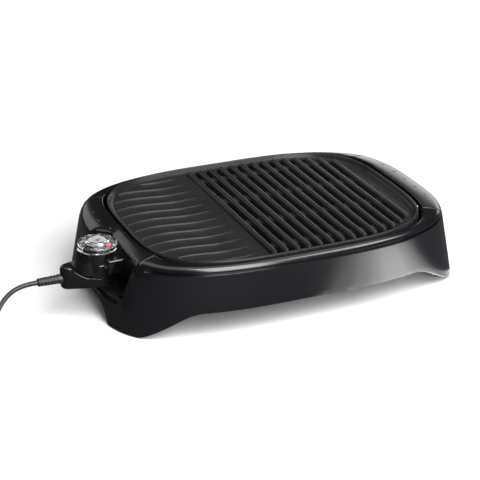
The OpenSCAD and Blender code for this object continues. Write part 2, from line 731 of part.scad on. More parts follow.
module temperature_knob() {
    low = turret_top + 0.6;
    color([0.85, 0.87, 0.9, 0.6]) at_knob() difference() {
        union() {
            translate([0, 0, low]) linear_extrude(5.6) polygon(lobes(knob_d / 2, 96));
            translate([0, 0, low + 5.6]) linear_extrude(0.9) polygon(lobes(knob_d / 2 - 0.8, 96));
            translate([0, 0, low + 6.5]) linear_extrude(0.7) polygon(lobes(knob_d / 2 - 2.4, 96));
            translate([0, 0, low + 6.2]) rotate_extrude() polygon([
                [0, 0], [13.5, 0], [13.5, 1.4], [12.6, 2.6], [9, 3.6], [4, 4], [0, 4]
            ]);
        }
        translate([0, 0, low - 1]) cylinder(d = knob_d - 7, h = 5.6);
        translate([0, 0, low - 1]) cylinder(r = 10, h = 8.6);
    }
}

// Grey disc with a pointer rib, seen through the clear knob
module knob_insert() {
    low = turret_top + 0.6;
    color([0.62, 0.63, 0.65]) at_knob() difference() {
        union() {
            translate([0, 0, low + 0.2]) cylinder(r = 5.4, h = 7);
            translate([0, 0, low + 5.4]) cylinder(r = 9.8, h = 2);
        }
        translate([0, 0, low - 1]) intersection() {
            cylinder(r = 3.02, h = 5.4);
            translate([-4, -4, 0]) cube([6.2, 8, 6]);
        }
    }
}

// Brass spindle with a flat for the knob and a screw end that sets the switch
module control_spindle() {
    color([0.8, 0.65, 0.3]) at_knob() difference() {
        union() {
            translate([0, 0, 69]) cylinder(r = 3, h = turret_top - 69 + 4);
            translate([0, 0, 69]) cylinder(r = 5, h = 1.6);
        }
        translate([2.2, -4, turret_top + 0.4]) cube([4, 8, 10]);
    }
}

// ---------- cord ----------
// Tapered sleeve with a collar inside the housing and shallow bending grooves
module strain_relief() {
    color([0.12, 0.12, 0.12]) placed() translate([-294, probe_y, split_z]) rotate([0, 90, 0]) rotate_extrude()
        polygon(concat(
            [[0, 0], [4.6, 0]],
            [for (i = [0:5]) for (q = [[0, 0], [1.6, 0], [1.9, -0.7], [2.8, -0.7], [3.1, 0]])
                [4.7 + 0.12 * i + q[1], 1 + 3.8 * i + q[0]]],
            [[5.5, 25], [5.5, 37.5], [6.5, 37.5], [6.5, 39.5], [0, 39.5]]
        ));
}

module power_cord() {
    color([0.1, 0.1, 0.1]) placed() run(tube_rings(refined(route), cord_r, 8));
}

// The coil winds in on the table and out again on top, clockwise from above
function coil_radius(u) = coil_r - coil_pitch * min(u, coil_turns - u);
function coil_height(u) = coil_z + coil_pitch * smooth((u - coil_turns / 2 + 0.25) / 0.5);
function coil_point(u) = [
    coil_at[0] + coil_radius(u) * cos(-90 - 360 * u),
    coil_at[1] + coil_radius(u) * sin(-90 - 360 * u),
    coil_height(u)
];
coil_steps = round(coil_turns * 24);
coil_end = coil_point(coil_turns);
cord_out = coil_end + [-coil_swing, coil_tail + coil_lead, 0]; // where the cord enters the plug
coil_path = concat(
    [[coil_at[0] + coil_lead, coil_at[1] - coil_r, coil_z]],
    [for (i = [0:coil_steps]) coil_point(coil_turns * i / coil_steps)],
    [for (k = [1:6]) coil_end + [-coil_swing * smooth(k / 6), coil_tail * k / 6, 0]],
    [cord_out]
);
// Least gap between turns, measured between ring centres at least half a turn apart
coil_gap = min([
    for (i = [0:len(coil_path) - 1], j = [i + 12:1:len(coil_path) - 1]) norm(coil_path[i] - coil_path[j])
]) - cord_d;
echo(centre_x = centre_x, coil_gap = coil_gap, cord_length = path_length(refined(route)) + path_length(coil_path));

module cord_coil() {
    color([0.1, 0.1, 0.1]) placed() run(tube_rings(coil_path, cord_r, 6));
}

// Soft tie round the turns, at the far side of the coil
module cord_tie() {
    inner = coil_r - coil_pitch * coil_turns / 2 - cord_r - 1;
    outer = coil_r + cord_r - 1.5;
    top = coil_z + coil_pitch + cord_r + 0.5;
    color([0.15, 0.15, 0.15]) placed() translate([coil_at[0], coil_at[1], 0]) difference() {
        translate([-5, inner - 1, 0]) cube([10, outer - inner + 2, top + 1]);
        translate([-6, inner, 1]) cube([12, outer - inner, top - 1]);
    }
}

module plug_body() {
    color([0.12, 0.12, 0.12]) placed() translate(cord_out) rotate([-90, 0, 0]) union() {
        rotate_extrude() polygon([[0, 0], [3.8, 0], [5.4, 18], [5.4, 20], [0, 20]]);
        translate([0, 0, 18]) linear_extrude(22) polygon(concat(
            arc([7, 4.5], 5.3, 0, 90, 5), arc([-7, 4.5], 5.3, 90, 180, 5),
            arc([-7, -4.5], 5.3, 180, 270, 5), arc([7, -4.5], 5.3, 270, 360, 5)
        ));
    }
}

module plug_blades() {
    color([0.85, 0.75, 0.5]) placed() translate(cord_out + [0, 40, 0])
        for (s = [-1, 1]) translate([6.35 * s - 0.75, 0, -3.15]) cube([1.5, 17, 6.3]);
}

base_shell();
rubber_feet();
drip_tray();
grid_plate();
heating_element();
terminal_pins();
pin_insulators();
element_clips();
clip_screws();
socket_shroud();
shroud_screws();
left_handle();
right_handle();
handle_screws();
control_upper_shell();
control_lower_shell();
control_screws();
sensor_tube();
contact_carrier();
contact_sleeves();
switch_blades();
bimetal_arm();
indicator_lamp();
temperature_knob();
knob_insert();
control_spindle();
strain_relief();
power_cord();
cord_coil();
cord_tie();
plug_body();
plug_blades();
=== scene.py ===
"""Looks of an electric indoor grill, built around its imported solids.

Lengths in the classes are millimetres measured from the middle of the base on the table, and
Draft.build turns them into metres in the shared frame.
"""

import logging
import math
from dataclasses import dataclass
from enum import Enum
from typing import Iterable, Sequence

import bmesh
import bpy
from mathutils import Matrix, Vector


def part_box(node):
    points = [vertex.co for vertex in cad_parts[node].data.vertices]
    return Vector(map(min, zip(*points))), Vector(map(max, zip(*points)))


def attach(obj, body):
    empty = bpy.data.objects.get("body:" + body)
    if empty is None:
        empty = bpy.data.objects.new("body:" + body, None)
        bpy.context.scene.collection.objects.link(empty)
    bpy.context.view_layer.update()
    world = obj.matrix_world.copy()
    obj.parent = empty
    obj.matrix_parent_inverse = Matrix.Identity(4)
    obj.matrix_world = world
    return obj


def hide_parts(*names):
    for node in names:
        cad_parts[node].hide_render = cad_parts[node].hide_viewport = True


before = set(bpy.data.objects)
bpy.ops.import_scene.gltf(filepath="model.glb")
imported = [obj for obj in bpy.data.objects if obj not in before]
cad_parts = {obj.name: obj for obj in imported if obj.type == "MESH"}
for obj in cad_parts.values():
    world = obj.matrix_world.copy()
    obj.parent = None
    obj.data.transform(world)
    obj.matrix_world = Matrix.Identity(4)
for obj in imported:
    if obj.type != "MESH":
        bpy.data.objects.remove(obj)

LOG = logging.getLogger("grill")
MM = 0.001
WELD = 2e-6  # points nearer than this are one
CREASE = 32.0  # usual angle of an edge that stays sharp, in degrees
SOFT_EDGE = 40.0  # edges sharper than this are rounded by soften, in degrees
Colour = tuple[float, float, float]
Flat = tuple[float, float]
Point = tuple[float, float, float]


# ---------- numbers and outlines ----------


def mix(a: float, b: float, share: float) -> float:
    """Returns the value at that share of the way from a to b."""
    return a + (b - a) * share


def clamp(value: float) -> float:
    """Returns value kept between 0 and 1."""
    return min(1.0, max(0.0, value))


def smooth(value: float) -> float:
    """Returns an S-shaped step from 0 to 1."""
    u = clamp(value)
    return u * u * (3.0 - 2.0 * u)


def polar(radius: float, angle: float) -> Flat:
    """Returns the point at that distance in that direction, which is in radians."""
    return (radius * math.cos(angle), radius * math.sin(angle))


def oval_radius(a: float, b: float, n: float, angle: float) -> float:
    """Distance from the middle to a squared oval.

    Args:
        a: Half length along X.
        b: Half length along Y.
        n: Squareness; 2 is an ellipse.
        angle: Direction in radians.

    Returns:
        The distance, in the unit of a and b.
    """
    across = (abs(math.cos(angle)) / a) ** n + (abs(math.sin(angle)) / b) ** n
    return across ** (-1.0 / n)


def turns_of(steps: int) -> list[float]:
    """Returns that many even directions of a full turn, in radians."""
    return [2.0 * math.pi * i / steps for i in range(steps)]


def oval(a: float, b: float, n: float, steps: int) -> list[Flat]:
    """Points of a squared oval.

    Args:
        a: Half length along X.
        b: Half length along Y.
        n: Squareness; 2 is an ellipse.
        steps: Number of points.

    Returns:
        The points, anticlockwise.
    """
    return [polar(oval_radius(a, b, n, t), t) for t in turns_of(steps)]


def oval_reach(a: float, b: float, n: float, y: float) -> float:
    """Returns how far a squared oval reaches along X at that y."""
    return a * max(0.0, 1.0 - (abs(y) / b) ** n) ** (1.0 / n)


def arc(centre: Flat, radius: float, start: float, end: float, steps: int) -> list[Flat]:
    """Points along an arc.

    Args:
        centre: Middle of the arc.
        radius: Its radius.
        start: First direction in degrees.
        end: Last direction in degrees.
        steps: Number of stretches.

    Returns:
        The points, both ends included.
    """
    turns = [math.radians(mix(start, end, i / steps)) for i in range(steps + 1)]
    return [(centre[0] + radius * math.cos(t), centre[1] + radius * math.sin(t)) for t in turns]


def box_outline(low: Flat, high: Flat) -> list[Flat]:
    """Returns a rectangle, anticlockwise from its low corner."""
    return [low, (high[0], low[1]), high, (low[0], high[1])]


def round_box(low: Flat, high: Flat, radius: float, steps: int) -> list[Flat]:
    """Rectangle with round corners.

    Args:
        low: Its low corner.
        high: Its high corner.
        radius: Radius of the corners.
        steps: Stretches in each corner.

    Returns:
        The points, anticlockwise.
    """
    left, right = low[0] + radius, high[0] - radius
    front, back = low[1] + radius, high[1] - radius
    outline: list[Flat] = []
    for i, centre in enumerate(((right, back), (left, back), (left, front), (right, front))):
        outline += arc(centre, radius, 90 * i, 90 * i + 90, steps)
    return outline


def within(shape: Sequence[Flat], border: Sequence[Flat]) -> list[Flat]:
    """Cuts a convex outline off at a convex border.

    Args:
        shape: The outline.
        border: The border, anticlockwise.

    Returns:
        The part of the outline inside the border.
    """
    kept = list(shape)
    for (x0, y0), (x1, y1) in zip(border, list(border[1:]) + [border[0]]):
        sides = [(x1 - x0) * (y - y0) - (y1 - y0) * (x - x0) for x, y in kept]
        if min(sides, default=0.0) >= 0.0:
            continue
        fresh: list[Flat] = []
        for i, spot in enumerate(kept):
            after, here, there = kept[(i + 1) % len(kept)], sides[i], sides[(i + 1) % len(kept)]
            if here >= 0.0:
                fresh.append(spot)
            if here * there < 0.0:
                share = here / (here - there)
                fresh.append((mix(spot[0], after[0], share), mix(spot[1], after[1], share)))
        kept = fresh
    return kept


# ---------- mesh making ----------


class Draft:
    """A mesh in the making, in millimetres from the middle of the base."""

    def __init__(self) -> None:
        """Starts with no points."""
        self.points: list[Point] = []
        self.faces: list[tuple[int, ...]] = []

    def loft(self, sections: Sequence[Sequence[Point]], closed: bool) -> "Draft":
        """Adds a skin over closed outlines.

        Args:
            sections: Outlines with the same number of points.
            closed: True if the last outline joins the first; otherwise both ends are capped.

        Returns:
            This draft.
        """
        first = len(self.points)
        count, size = len(sections), len(sections[0])
        self.points += [p for section in sections for p in section]
        for i in range(count if closed else count - 1):
            for j in range(size):
                a, b = first + i * size, first + ((i + 1) % count) * size
                k = (j + 1) % size
                self.faces.append((a + j, a + k, b + k, b + j))
        if not closed:
            self.faces.append(tuple(first + j for j in range(size)))
            self.faces.append(tuple(first + (count - 1) * size + j for j in range(size)))
        return self

    def prism(self, outline: Sequence[Flat], low: float, high: float) -> "Draft":
        """Returns this draft with an upright prism added between two heights."""
        return self.loft([[(x, y, z) for x, y in outline] for z in (low, high)], False)

    def side_prism(self, outline: Sequence[Flat], low: float, high: float) -> "Draft":
        """Returns this draft with a prism along X added; the outline is in (y, z)."""
        return self.loft([[(x, y, z) for y, z in outline] for x in (low, high)], False)

    def box(self, low: Point, high: Point) -> "Draft":
        """Returns this draft with a box added."""
        return self.prism(box_outline(low[:2], high[:2]), low[2], high[2])

    def corner_box(self, side: tuple[int, int], x: Flat, y: Flat, z: Flat) -> "Draft":
        """Adds a box in one corner of the base.

        Args:
            side: The corner, from CORNERS.
            x: Where it starts and ends along X at the right.
            y: Where it starts and ends along Y at the back.
            z: Its bottom and top.

        Returns:
            This draft.
        """
        xs, ys = sorted(side[0] * v for v in x), sorted(side[1] * v for v in y)
        return self.box((xs[0], ys[0], z[0]), (xs[1], ys[1], z[1]))

    def turned(
        self, profile: Sequence[Flat], centre: Point, along_x: bool = False, steps: int = 64
    ) -> "Draft":
        """Adds a turned form.

        Args:
            profile: Closed run of (radius, height) from the axis and back to it.
            centre: Foot of the axis.
            along_x: True for an axis along X, otherwise it stands up.
            steps: Points round the axis.

        Returns:
            This draft.
        """
        rings = []
        for radius, rise in profile:
            ring = []
            for u, v in (polar(radius, t) for t in turns_of(steps)):
                spot = (rise, u, v) if along_x else (u, v, rise)
                ring.append((centre[0] + spot[0], centre[1] + spot[1], centre[2] + spot[2]))
            rings.append(ring)
        return self.loft(rings, False)

    def tube(self, path: Sequence[Point], radii: Sequence[float], sides: int = 16) -> "Draft":
        """Adds a round tube.

        Args:
            path: Points along its middle.
            radii: One radius for each point.
            sides: Points round it.

        Returns:
            This draft.
        """
        rings = []
        spots = [Vector(p) for p in path]
        for i, spot in enumerate(spots):
            ahead = (spots[min(i + 1, len(spots) - 1)] - spots[max(i - 1, 0)]).normalized()
            right = ahead.cross(Vector((0.0, 0.0, 1.0))).normalized()
            up = right.cross(ahead)
            around = [math.cos(t) * right + math.sin(t) * up for t in turns_of(sides)]
            rings.append([tuple(spot + radii[i] * out) for out in around])
        return self.loft(rings, False)

    def build(self, name: str, crease: float = CREASE) -> bpy.types.Object:
        """Makes the Blender object.

        Args:
            name: Its name.
            crease: Edges sharper than this many degrees stay sharp.

        Returns:
            The linked object, in metres in the shared frame.
        """
        mesh = bpy.data.meshes.new(name)
        mesh.from_pydata([place(p) for p in self.points], [], self.faces)
        piece = bpy.data.objects.new(name, mesh)
        bpy.context.scene.collection.objects.link(piece)
        tidy(piece, crease)
        return piece


def place(p: Point) -> Point:
    """Returns a point given from the middle of the base as metres in the shared frame."""
    return (p[0] * MM + MIDDLE_X, p[1] * MM, p[2] * MM)


def tidy(piece: bpy.types.Object, crease: float) -> None:
    """Merges doubles, turns every face outwards and sets smooth shading with sharp creases.

    Args:
        piece: The mesh object.
        crease: Edges sharper than this many degrees stay sharp.
    """
    work = bmesh.new()
    work.from_mesh(piece.data)
    bmesh.ops.remove_doubles(work, verts=work.verts, dist=WELD)
    bmesh.ops.dissolve_degenerate(work, edges=work.edges, dist=WELD / 2)
    bmesh.ops.recalc_face_normals(work, faces=work.faces)
    for face in work.faces:
        face.smooth = True
    work.to_mesh(piece.data)
    work.free()
    piece.data.set_sharp_from_angle(angle=math.radians(crease))


def settle(piece: bpy.types.Object, crease: float) -> None:
    """Applies every modifier of a piece to its mesh.

    Args:
        piece: The mesh object.
        crease: Edges sharper than this many degrees stay sharp.
    """
    bpy.context.view_layer.update()
    seen = piece.evaluated_get(bpy.context.evaluated_depsgraph_get())
    mesh = bpy.data.meshes.new_from_object(seen)
    piece.modifiers.clear()
    old = piece.data
    piece.data = mesh
    bpy.data.meshes.remove(old)
    tidy(piece, crease)


def carve(
    piece: bpy.types.Object, cutters: Iterable[bpy.types.Object], crease: float = CREASE
) -> None:
    """Cuts shapes out of a piece and removes the cutters.

    Args:
        piece: What is cut.
        cutters: Closed shapes to take away.
        crease: Edges sharper than this many degrees stay sharp.
    """
    shapes = list(cutters)
    for shape in shapes:
        cut = piece.modifiers.new("cut", "BOOLEAN")
        cut.operation = "DIFFERENCE"
        cut.solver = "EXACT"
        cut.object = shape
    settle(piece, crease)
    for shape in shapes:
        bpy.data.objects.remove(shape)


def soften(piece: bpy.types.Object, width: float, steps: int = 3) -> None:
    """Rounds the sharp edges of a piece.

    Args:
        piece: The mesh object.
        width: Width of the rounding, in millimetres.
        steps: Stretches across it.
    """
    bevel = piece.modifiers.new("soften", "BEVEL")
    bevel.width = width * MM
    bevel.segments = steps
    bevel.limit_method = "ANGLE"
    bevel.angle_limit = math.radians(SOFT_EDGE)
    bevel.use_clamp_overlap = True
    settle(piece, CREASE)


# ---------- finishes ----------


class Build(Enum):
    """How a finish takes light."""

    MOULDED = "moulded"
    METAL = "metal"
    CLEAR = "clear"
    LIT = "lit"


SOCKET_KIND = {
    float: "NodeSocketFloat",
    tuple: "NodeSocketColor",
}


@dataclass
class Wiring:
    """Adds nodes to one tree and joins them, so that each graph below stays short."""

    tree: bpy.types.NodeTree
    row: int = 0

    def node(self, kind: str, **values: object) -> bpy.types.Node:
        """Adds a node.

        Args:
            kind: Blender's node type.
            values: Attributes, or inputs where the name starts with in_.

        Returns:
            The node.
        """
        made = self.tree.nodes.new(kind)
        made.location = (220 * (self.row % 7), -260 * (self.row // 7))
        self.row += 1
        for key, value in values.items():
            if key.startswith("in_"):
                made.inputs[key[3:].replace("_", " ")].default_value = value
            else:
                setattr(made, key, value)
        return made

    def join(self, start: bpy.types.NodeSocket, end: bpy.types.NodeSocket) -> None:
        """Joins an output to an input."""
        self.tree.links.new(start, end)

    def maths(self, operation: str, a: object, b: object) -> bpy.types.NodeSocket:
        """Adds a sum.

        Args:
            operation: Blender's name of it.
            a: A number or an output.
            b: A number or an output.

        Returns:
            The result's output.
        """
        made = self.node("ShaderNodeMath", operation=operation)
        for slot, value in zip(made.inputs, (a, b)):
            if isinstance(value, bpy.types.NodeSocket):
                self.join(value, slot)
            else:
                slot.default_value = value
        return made.outputs[0]

    def blend(self, share: bpy.types.NodeSocket, a: object, b: object) -> bpy.types.NodeSocket:
        """Adds a colour mix.

        Args:
            share: Output that says how much of b.
            a: A colour or an output.
            b: A colour or an output.

        Returns:
            The colour's output.
        """
        made = self.node("ShaderNodeMix", data_type="RGBA")
        self.join(share, made.inputs[0])
        for slot, value in ((made.inputs[6], a), (made.inputs[7], b)):
            if isinstance(value, bpy.types.NodeSocket):
                self.join(value, slot)
            else:
                slot.default_value = value
        return made.outputs[2]


def new_group(
    name: str, inputs: dict[str, object], outputs: dict[str, type]
) -> tuple[Wiring, bpy.types.Node, bpy.types.Node]:
    """Starts a shader node group.

    Args:
        name: Its name.
        inputs: Input names and their usual values.
        outputs: Output names and the kind of each.

    Returns:
        The wiring, the input node and the output node.
    """
    tree = bpy.data.node_groups.new(name, "ShaderNodeTree")
    for label, value in inputs.items():
        socket = tree.interface.new_socket(label, in_out="INPUT", socket_type=SOCKET_KIND[type(value)])
        socket.default_value = value
    for label, kind in outputs.items():
        tree.interface.new_socket(label, in_out="OUTPUT", socket_type=SOCKET_KIND[kind])
    wiring = Wiring(tree)
    return wiring, wiring.node("NodeGroupInput"), wiring.node("NodeGroupOutput")


def grain_group() -> bpy.types.NodeTree:
    """Moulding or casting texture.

    Returns:
        A group with inputs Scale, Fine and Pits, and outputs Height and Mask.
    """
    w, given, out = new_group(
        "surface_grain", {"Scale": 900.0, "Fine": 0.5, "Pits": 0.0}, {"Height": float, "Mask": float}
    )
    coord = w.node("ShaderNodeTexCoord").outputs["Object"]
    coarse = w.node("ShaderNodeTexNoise", in_Detail=3.0, in_Roughness=0.6)
    pits = w.node("ShaderNodeTexVoronoi", feature="F1")
    w.join(coord, coarse.inputs["Vector"])
    w.join(coord, pits.inputs["Vector"])
    w.join(given.outputs["Scale"], coarse.inputs["Scale"])
    w.join(w.maths("MULTIPLY", given.outputs["Scale"], 0.7), pits.inputs["Scale"])
    grain = w.maths("MULTIPLY", coarse.outputs["Fac"], given.outputs["Fine"])
    dents = w.maths("MULTIPLY", w.maths("MINIMUM", pits.outputs["Distance"], 0.4), given.outputs["Pits"])
    w.join(w.maths("ADD", grain, dents), out.inputs["Height"])
    w.join(coarse.outputs["Fac"], out.inputs["Mask"])
    return w.tree


def handling_group() -> bpy.types.NodeTree:
    """Cloudy change of gloss and tone that use leaves on a surface.

    Returns:
        A group with inputs Tone, Shade, Gloss, Spread and Size, and outputs Tone and Gloss.
    """
    usual = {
        "Tone": (0.1, 0.1, 0.1, 1.0),
        "Shade": (0.05, 0.05, 0.05, 1.0),
        "Gloss": 0.4,
        "Spread": 0.1,
        "Size": 18.0,
    }
    w, given, out = new_group("handling", usual, {"Tone": tuple, "Gloss": float})
    coord = w.node("ShaderNodeTexCoord").outputs["Object"]
    cloud = w.node("ShaderNodeTexNoise", in_Detail=4.0, in_Roughness=0.65)
    w.join(coord, cloud.inputs["Vector"])
    w.join(given.outputs["Size"], cloud.inputs["Scale"])
    soft = w.node("ShaderNodeMapRange", in_From_Min=0.3, in_From_Max=0.7)
    w.join(cloud.outputs["Fac"], soft.inputs["Value"])
    tone = w.blend(soft.outputs["Result"], given.outputs["Tone"], given.outputs["Shade"])
    w.join(tone, out.inputs["Tone"])
    swing = w.maths("MULTIPLY", w.maths("SUBTRACT", soft.outputs["Result"], 0.5), given.outputs["Spread"])
    w.join(w.maths("ADD", given.outputs["Gloss"], swing), out.inputs["Gloss"])
    return w.tree


def wear_group() -> bpy.types.NodeTree:
    """Lighter, smoother edges where a surface is touched most.

    Returns:
        A group with inputs Tone, Edge, Amount, Gloss and outputs Tone and Gloss.
    """
    usual = {"Tone": (0.1, 0.1, 0.1, 1.0), "Edge": (0.3, 0.3, 0.3, 1.0), "Amount": 0.3, "Gloss": 0.4}
    w, given, out = new_group("edge_wear", usual, {"Tone": tuple, "Gloss": float})
    shape = w.node("ShaderNodeNewGeometry")
    coord = w.node("ShaderNodeTexCoord").outputs["Object"]
    broken = w.node("ShaderNodeTexNoise", in_Scale=260.0, in_Detail=2.0)
    w.join(coord, broken.inputs["Vector"])
    edge = w.node("ShaderNodeMapRange", in_From_Min=0.52, in_From_Max=0.62)
    w.join(shape.outputs["Pointiness"], edge.inputs["Value"])
    patchy = w.maths("MULTIPLY", edge.outputs["Result"], broken.outputs["Fac"])
    share = w.maths("MULTIPLY", patchy, given.outputs["Amount"])
    w.join(w.blend(share, given.outputs["Tone"], given.outputs["Edge"]), out.inputs["Tone"])
    drop = w.maths("MULTIPLY", share, -0.25)
    w.join(w.maths("ADD", given.outputs["Gloss"], drop), out.inputs["Gloss"])
    return w.tree


class Effects:
    """The node groups that several finishes share, each made once."""

    def __init__(self) -> None:
        """Makes the three groups."""
        self.grain = grain_group()
        self.handling = handling_group()
        self.wear = wear_group()
        self.made: dict[str, bpy.types.Material] = {}


def rgba(colour: Colour) -> tuple[float, float, float, float]:
    """Returns a colour with full cover."""
    return (colour[0], colour[1], colour[2], 1.0)


@dataclass(frozen=True)
class Finish:
    """One material: its colours, gloss and surface texture.

    Attributes:
        name: Name of the material.
        tone: Usual colour.
        shade: Colour of its darker clouds.
        edge: Colour of worn edges.
        gloss: Roughness.
        spread: How much the clouds change the roughness.
        cloud: How small the clouds are.
        grain: How fine the grain is.
        fine: Strength of the grain.
        pits: Strength of small dents.
        relief: Depth of grain and dents, in millimetres.
        wear: How far edges go to the worn colour.
        build: How it takes light.
        bend: Index of refraction.
        glow: Strength of its own light.
    """

    name: str
    tone: Colour
    shade: Colour
    edge: Colour
    gloss: float
    spread: float = 0.08
    cloud: float = 22.0
    grain: float = 1400.0
    fine: float = 1.0
    pits: float = 0.0
    relief: float = 0.02
    wear: float = 0.25
    build: Build = Build.MOULDED
    bend: float = 1.5
    glow: float = 0.0

    def material(self, effects: Effects) -> bpy.types.Material:
        """Makes the material, or finds the one already made.

        Args:
            effects: The shared node groups.

        Returns:
            The material.
        """
        if self.name in effects.made:
            return effects.made[self.name]
        made = effects.made[self.name] = bpy.data.materials.new(self.name)
        made.use_nodes = True
        made.node_tree.nodes.clear()
        w = Wiring(made.node_tree)
        shader = w.node("ShaderNodeBsdfPrincipled")
        result = w.node("ShaderNodeOutputMaterial")
        w.join(shader.outputs["BSDF"], result.inputs["Surface"])
        handling = w.node("ShaderNodeGroup", node_tree=effects.handling)
        handling.inputs["Tone"].default_value = rgba(self.tone)
        handling.inputs["Shade"].default_value = rgba(self.shade)
        handling.inputs["Gloss"].default_value = self.gloss
        handling.inputs["Spread"].default_value = self.spread
        handling.inputs["Size"].default_value = self.cloud
        wear = w.node("ShaderNodeGroup", node_tree=effects.wear)
        wear.inputs["Edge"].default_value = rgba(self.edge)
        wear.inputs["Amount"].default_value = self.wear
        w.join(handling.outputs["Tone"], wear.inputs["Tone"])
        w.join(handling.outputs["Gloss"], wear.inputs["Gloss"])
        w.join(wear.outputs["Tone"], shader.inputs["Base Color"])
        w.join(wear.outputs["Gloss"], shader.inputs["Roughness"])
        grain = w.node("ShaderNodeGroup", node_tree=effects.grain)
        grain.inputs["Scale"].default_value = self.grain
        grain.inputs["Fine"].default_value = self.fine
        grain.inputs["Pits"].default_value = self.pits
        bump = w.node("ShaderNodeBump", in_Strength=1.0, in_Distance=self.relief * MM)
        w.join(grain.outputs["Height"], bump.inputs["Height"])
        w.join(bump.outputs["Normal"], shader.inputs["Normal"])
        shader.inputs["IOR"].default_value = self.bend
        shader.inputs["Metallic"].default_value = 1.0 if self.build is Build.METAL else 0.0
        shader.inputs["Transmission Weight"].default_value = 1.0 if self.build is Build.CLEAR else 0.0
        if self.build is Build.LIT:
            shader.inputs["Emission Strength"].default_value = self.glow
            w.join(wear.outputs["Tone"], shader.inputs["Emission Color"])
        return made


GLOSSY_BASE = Finish(
    "glossy_base",
    tone=(0.0032, 0.0032, 0.0042), shade=(0.0045, 0.0045, 0.0056), edge=(0.025, 0.025, 0.028),
    gloss=0.18, spread=0.05, cloud=9.0, grain=1100.0, relief=0.006, wear=0.12, bend=1.65,
)
SATIN_COVER = Finish(
    "satin_cover",
    tone=(0.0035, 0.0035, 0.0038), shade=(0.005, 0.005, 0.0053), edge=(0.015, 0.015, 0.015),
    gloss=0.18, spread=0.05, cloud=12.0, grain=1500.0, pits=0.15, relief=0.008, wear=0.12, bend=1.6,
)
DEEP_BLACK = Finish(
    "deep_black",
    tone=(0.01, 0.01, 0.011), shade=(0.014, 0.014, 0.015), edge=(0.03, 0.03, 0.03),
    gloss=0.42, spread=0.1, cloud=14.0, grain=1500.0, pits=0.2, wear=0.1,
)
NON_STICK = Finish(
    "non_stick",
    tone=(0.011, 0.011, 0.0112), shade=(0.015, 0.015, 0.0152), edge=(0.06, 0.06, 0.06),
    gloss=0.29, spread=0.12, cloud=30.0, grain=2600.0, fine=0.8, pits=0.6, relief=0.03, wear=0.35,
    bend=1.3,
)
TRAY_COAT = Finish(
    "tray_coat",
    tone=(0.028, 0.028, 0.03), shade=(0.038, 0.038, 0.04), edge=(0.1, 0.1, 0.1),
    gloss=0.4, spread=0.12, cloud=24.0, grain=2200.0, fine=0.7, pits=0.4, wear=0.3,
)
HEATER = Finish(
    "sheath_metal",
    tone=(0.16, 0.14, 0.125), shade=(0.1, 0.085, 0.08), edge=(0.3, 0.28, 0.26),
    gloss=0.5, spread=0.2, cloud=60.0, grain=2400.0, wear=0.4, build=Build.METAL,
)
STEEL = Finish(
    "plated_steel",
    tone=(0.56, 0.56, 0.57), shade=(0.48, 0.48, 0.49), edge=(0.7, 0.7, 0.7),
    gloss=0.32, spread=0.16, cloud=90.0, grain=3000.0, fine=0.6, relief=0.01, wear=0.3,
    build=Build.METAL,
)
POLISHED = Finish(
    "bright_tube",
    tone=(0.66, 0.66, 0.68), shade=(0.6, 0.6, 0.62), edge=(0.75, 0.75, 0.75),
    gloss=0.14, cloud=70.0, grain=2800.0, fine=0.4, relief=0.005, wear=0.2, build=Build.METAL,
)
CERAMIC = Finish(
    "steatite",
    tone=(0.74, 0.7, 0.62), shade=(0.66, 0.61, 0.53), edge=(0.85, 0.82, 0.76),
    gloss=0.45, spread=0.14, cloud=120.0, grain=2600.0, fine=0.8, pits=0.4, wear=0.3,
)
CONTROL = Finish(
    "gloss_control",
    tone=(0.0028, 0.0028, 0.003), shade=(0.004, 0.004, 0.0043), edge=(0.025, 0.025, 0.025),
    gloss=0.12, spread=0.05, cloud=30.0, grain=1800.0, pits=0.1, relief=0.004, wear=0.1, bend=1.65,
)
CARRIER = Finish(
    "brown_moulding",
    tone=(0.13, 0.06, 0.03), shade=(0.09, 0.042, 0.022), edge=(0.22, 0.12, 0.07),
    gloss=0.42, spread=0.12, cloud=80.0, grain=2200.0, pits=0.3, wear=0.3,
)
BRASS = Finish(
    "brass",
    tone=(0.62, 0.44, 0.19), shade=(0.5, 0.34, 0.15), edge=(0.75, 0.58, 0.3),
    gloss=0.3, spread=0.16, cloud=110.0, grain=2600.0, fine=0.6, relief=0.01, wear=0.35,
    build=Build.METAL,
)
BIMETAL = Finish(
    "two_metal_strip",
    tone=(0.42, 0.36, 0.3), shade=(0.34, 0.28, 0.23), edge=(0.6, 0.55, 0.5),
    gloss=0.38, spread=0.14, cloud=120.0, grain=2600.0, fine=0.6, relief=0.01, wear=0.3,
    build=Build.METAL,
)
LAMP = Finish(
    "lit_lamp",
    tone=(0.9, 0.06, 0.03), shade=(0.75, 0.04, 0.02), edge=(1.0, 0.25, 0.15),
    gloss=0.2, spread=0.06, cloud=120.0, grain=1800.0, fine=0.5, relief=0.005, wear=0.2, build=Build.LIT,
    glow=2.6,
)
CLEAR_KNOB = Finish(
    "clear_knob",
    tone=(0.93, 0.94, 0.95), shade=(0.88, 0.89, 0.9), edge=(1.0, 1.0, 1.0),
    gloss=0.05, spread=0.04, cloud=60.0, grain=900.0, fine=0.6, relief=0.004, wear=0.1,
    build=Build.CLEAR, bend=1.49,
)
KNOB_CORE = Finish(
    "knob_core",
    tone=(0.5, 0.51, 0.52), shade=(0.42, 0.43, 0.44), edge=(0.7, 0.7, 0.7),
    gloss=0.35, spread=0.1, cloud=90.0, grain=1800.0, fine=0.8, pits=0.1, relief=0.01, wear=0.3,
)
RUBBER = Finish(
    "soft_rubber",
    tone=(0.02, 0.02, 0.02), shade=(0.028, 0.028, 0.028), edge=(0.06, 0.06, 0.06),
    gloss=0.75, spread=0.1, cloud=90.0, grain=2600.0, pits=0.5, relief=0.05, wear=0.3,
)
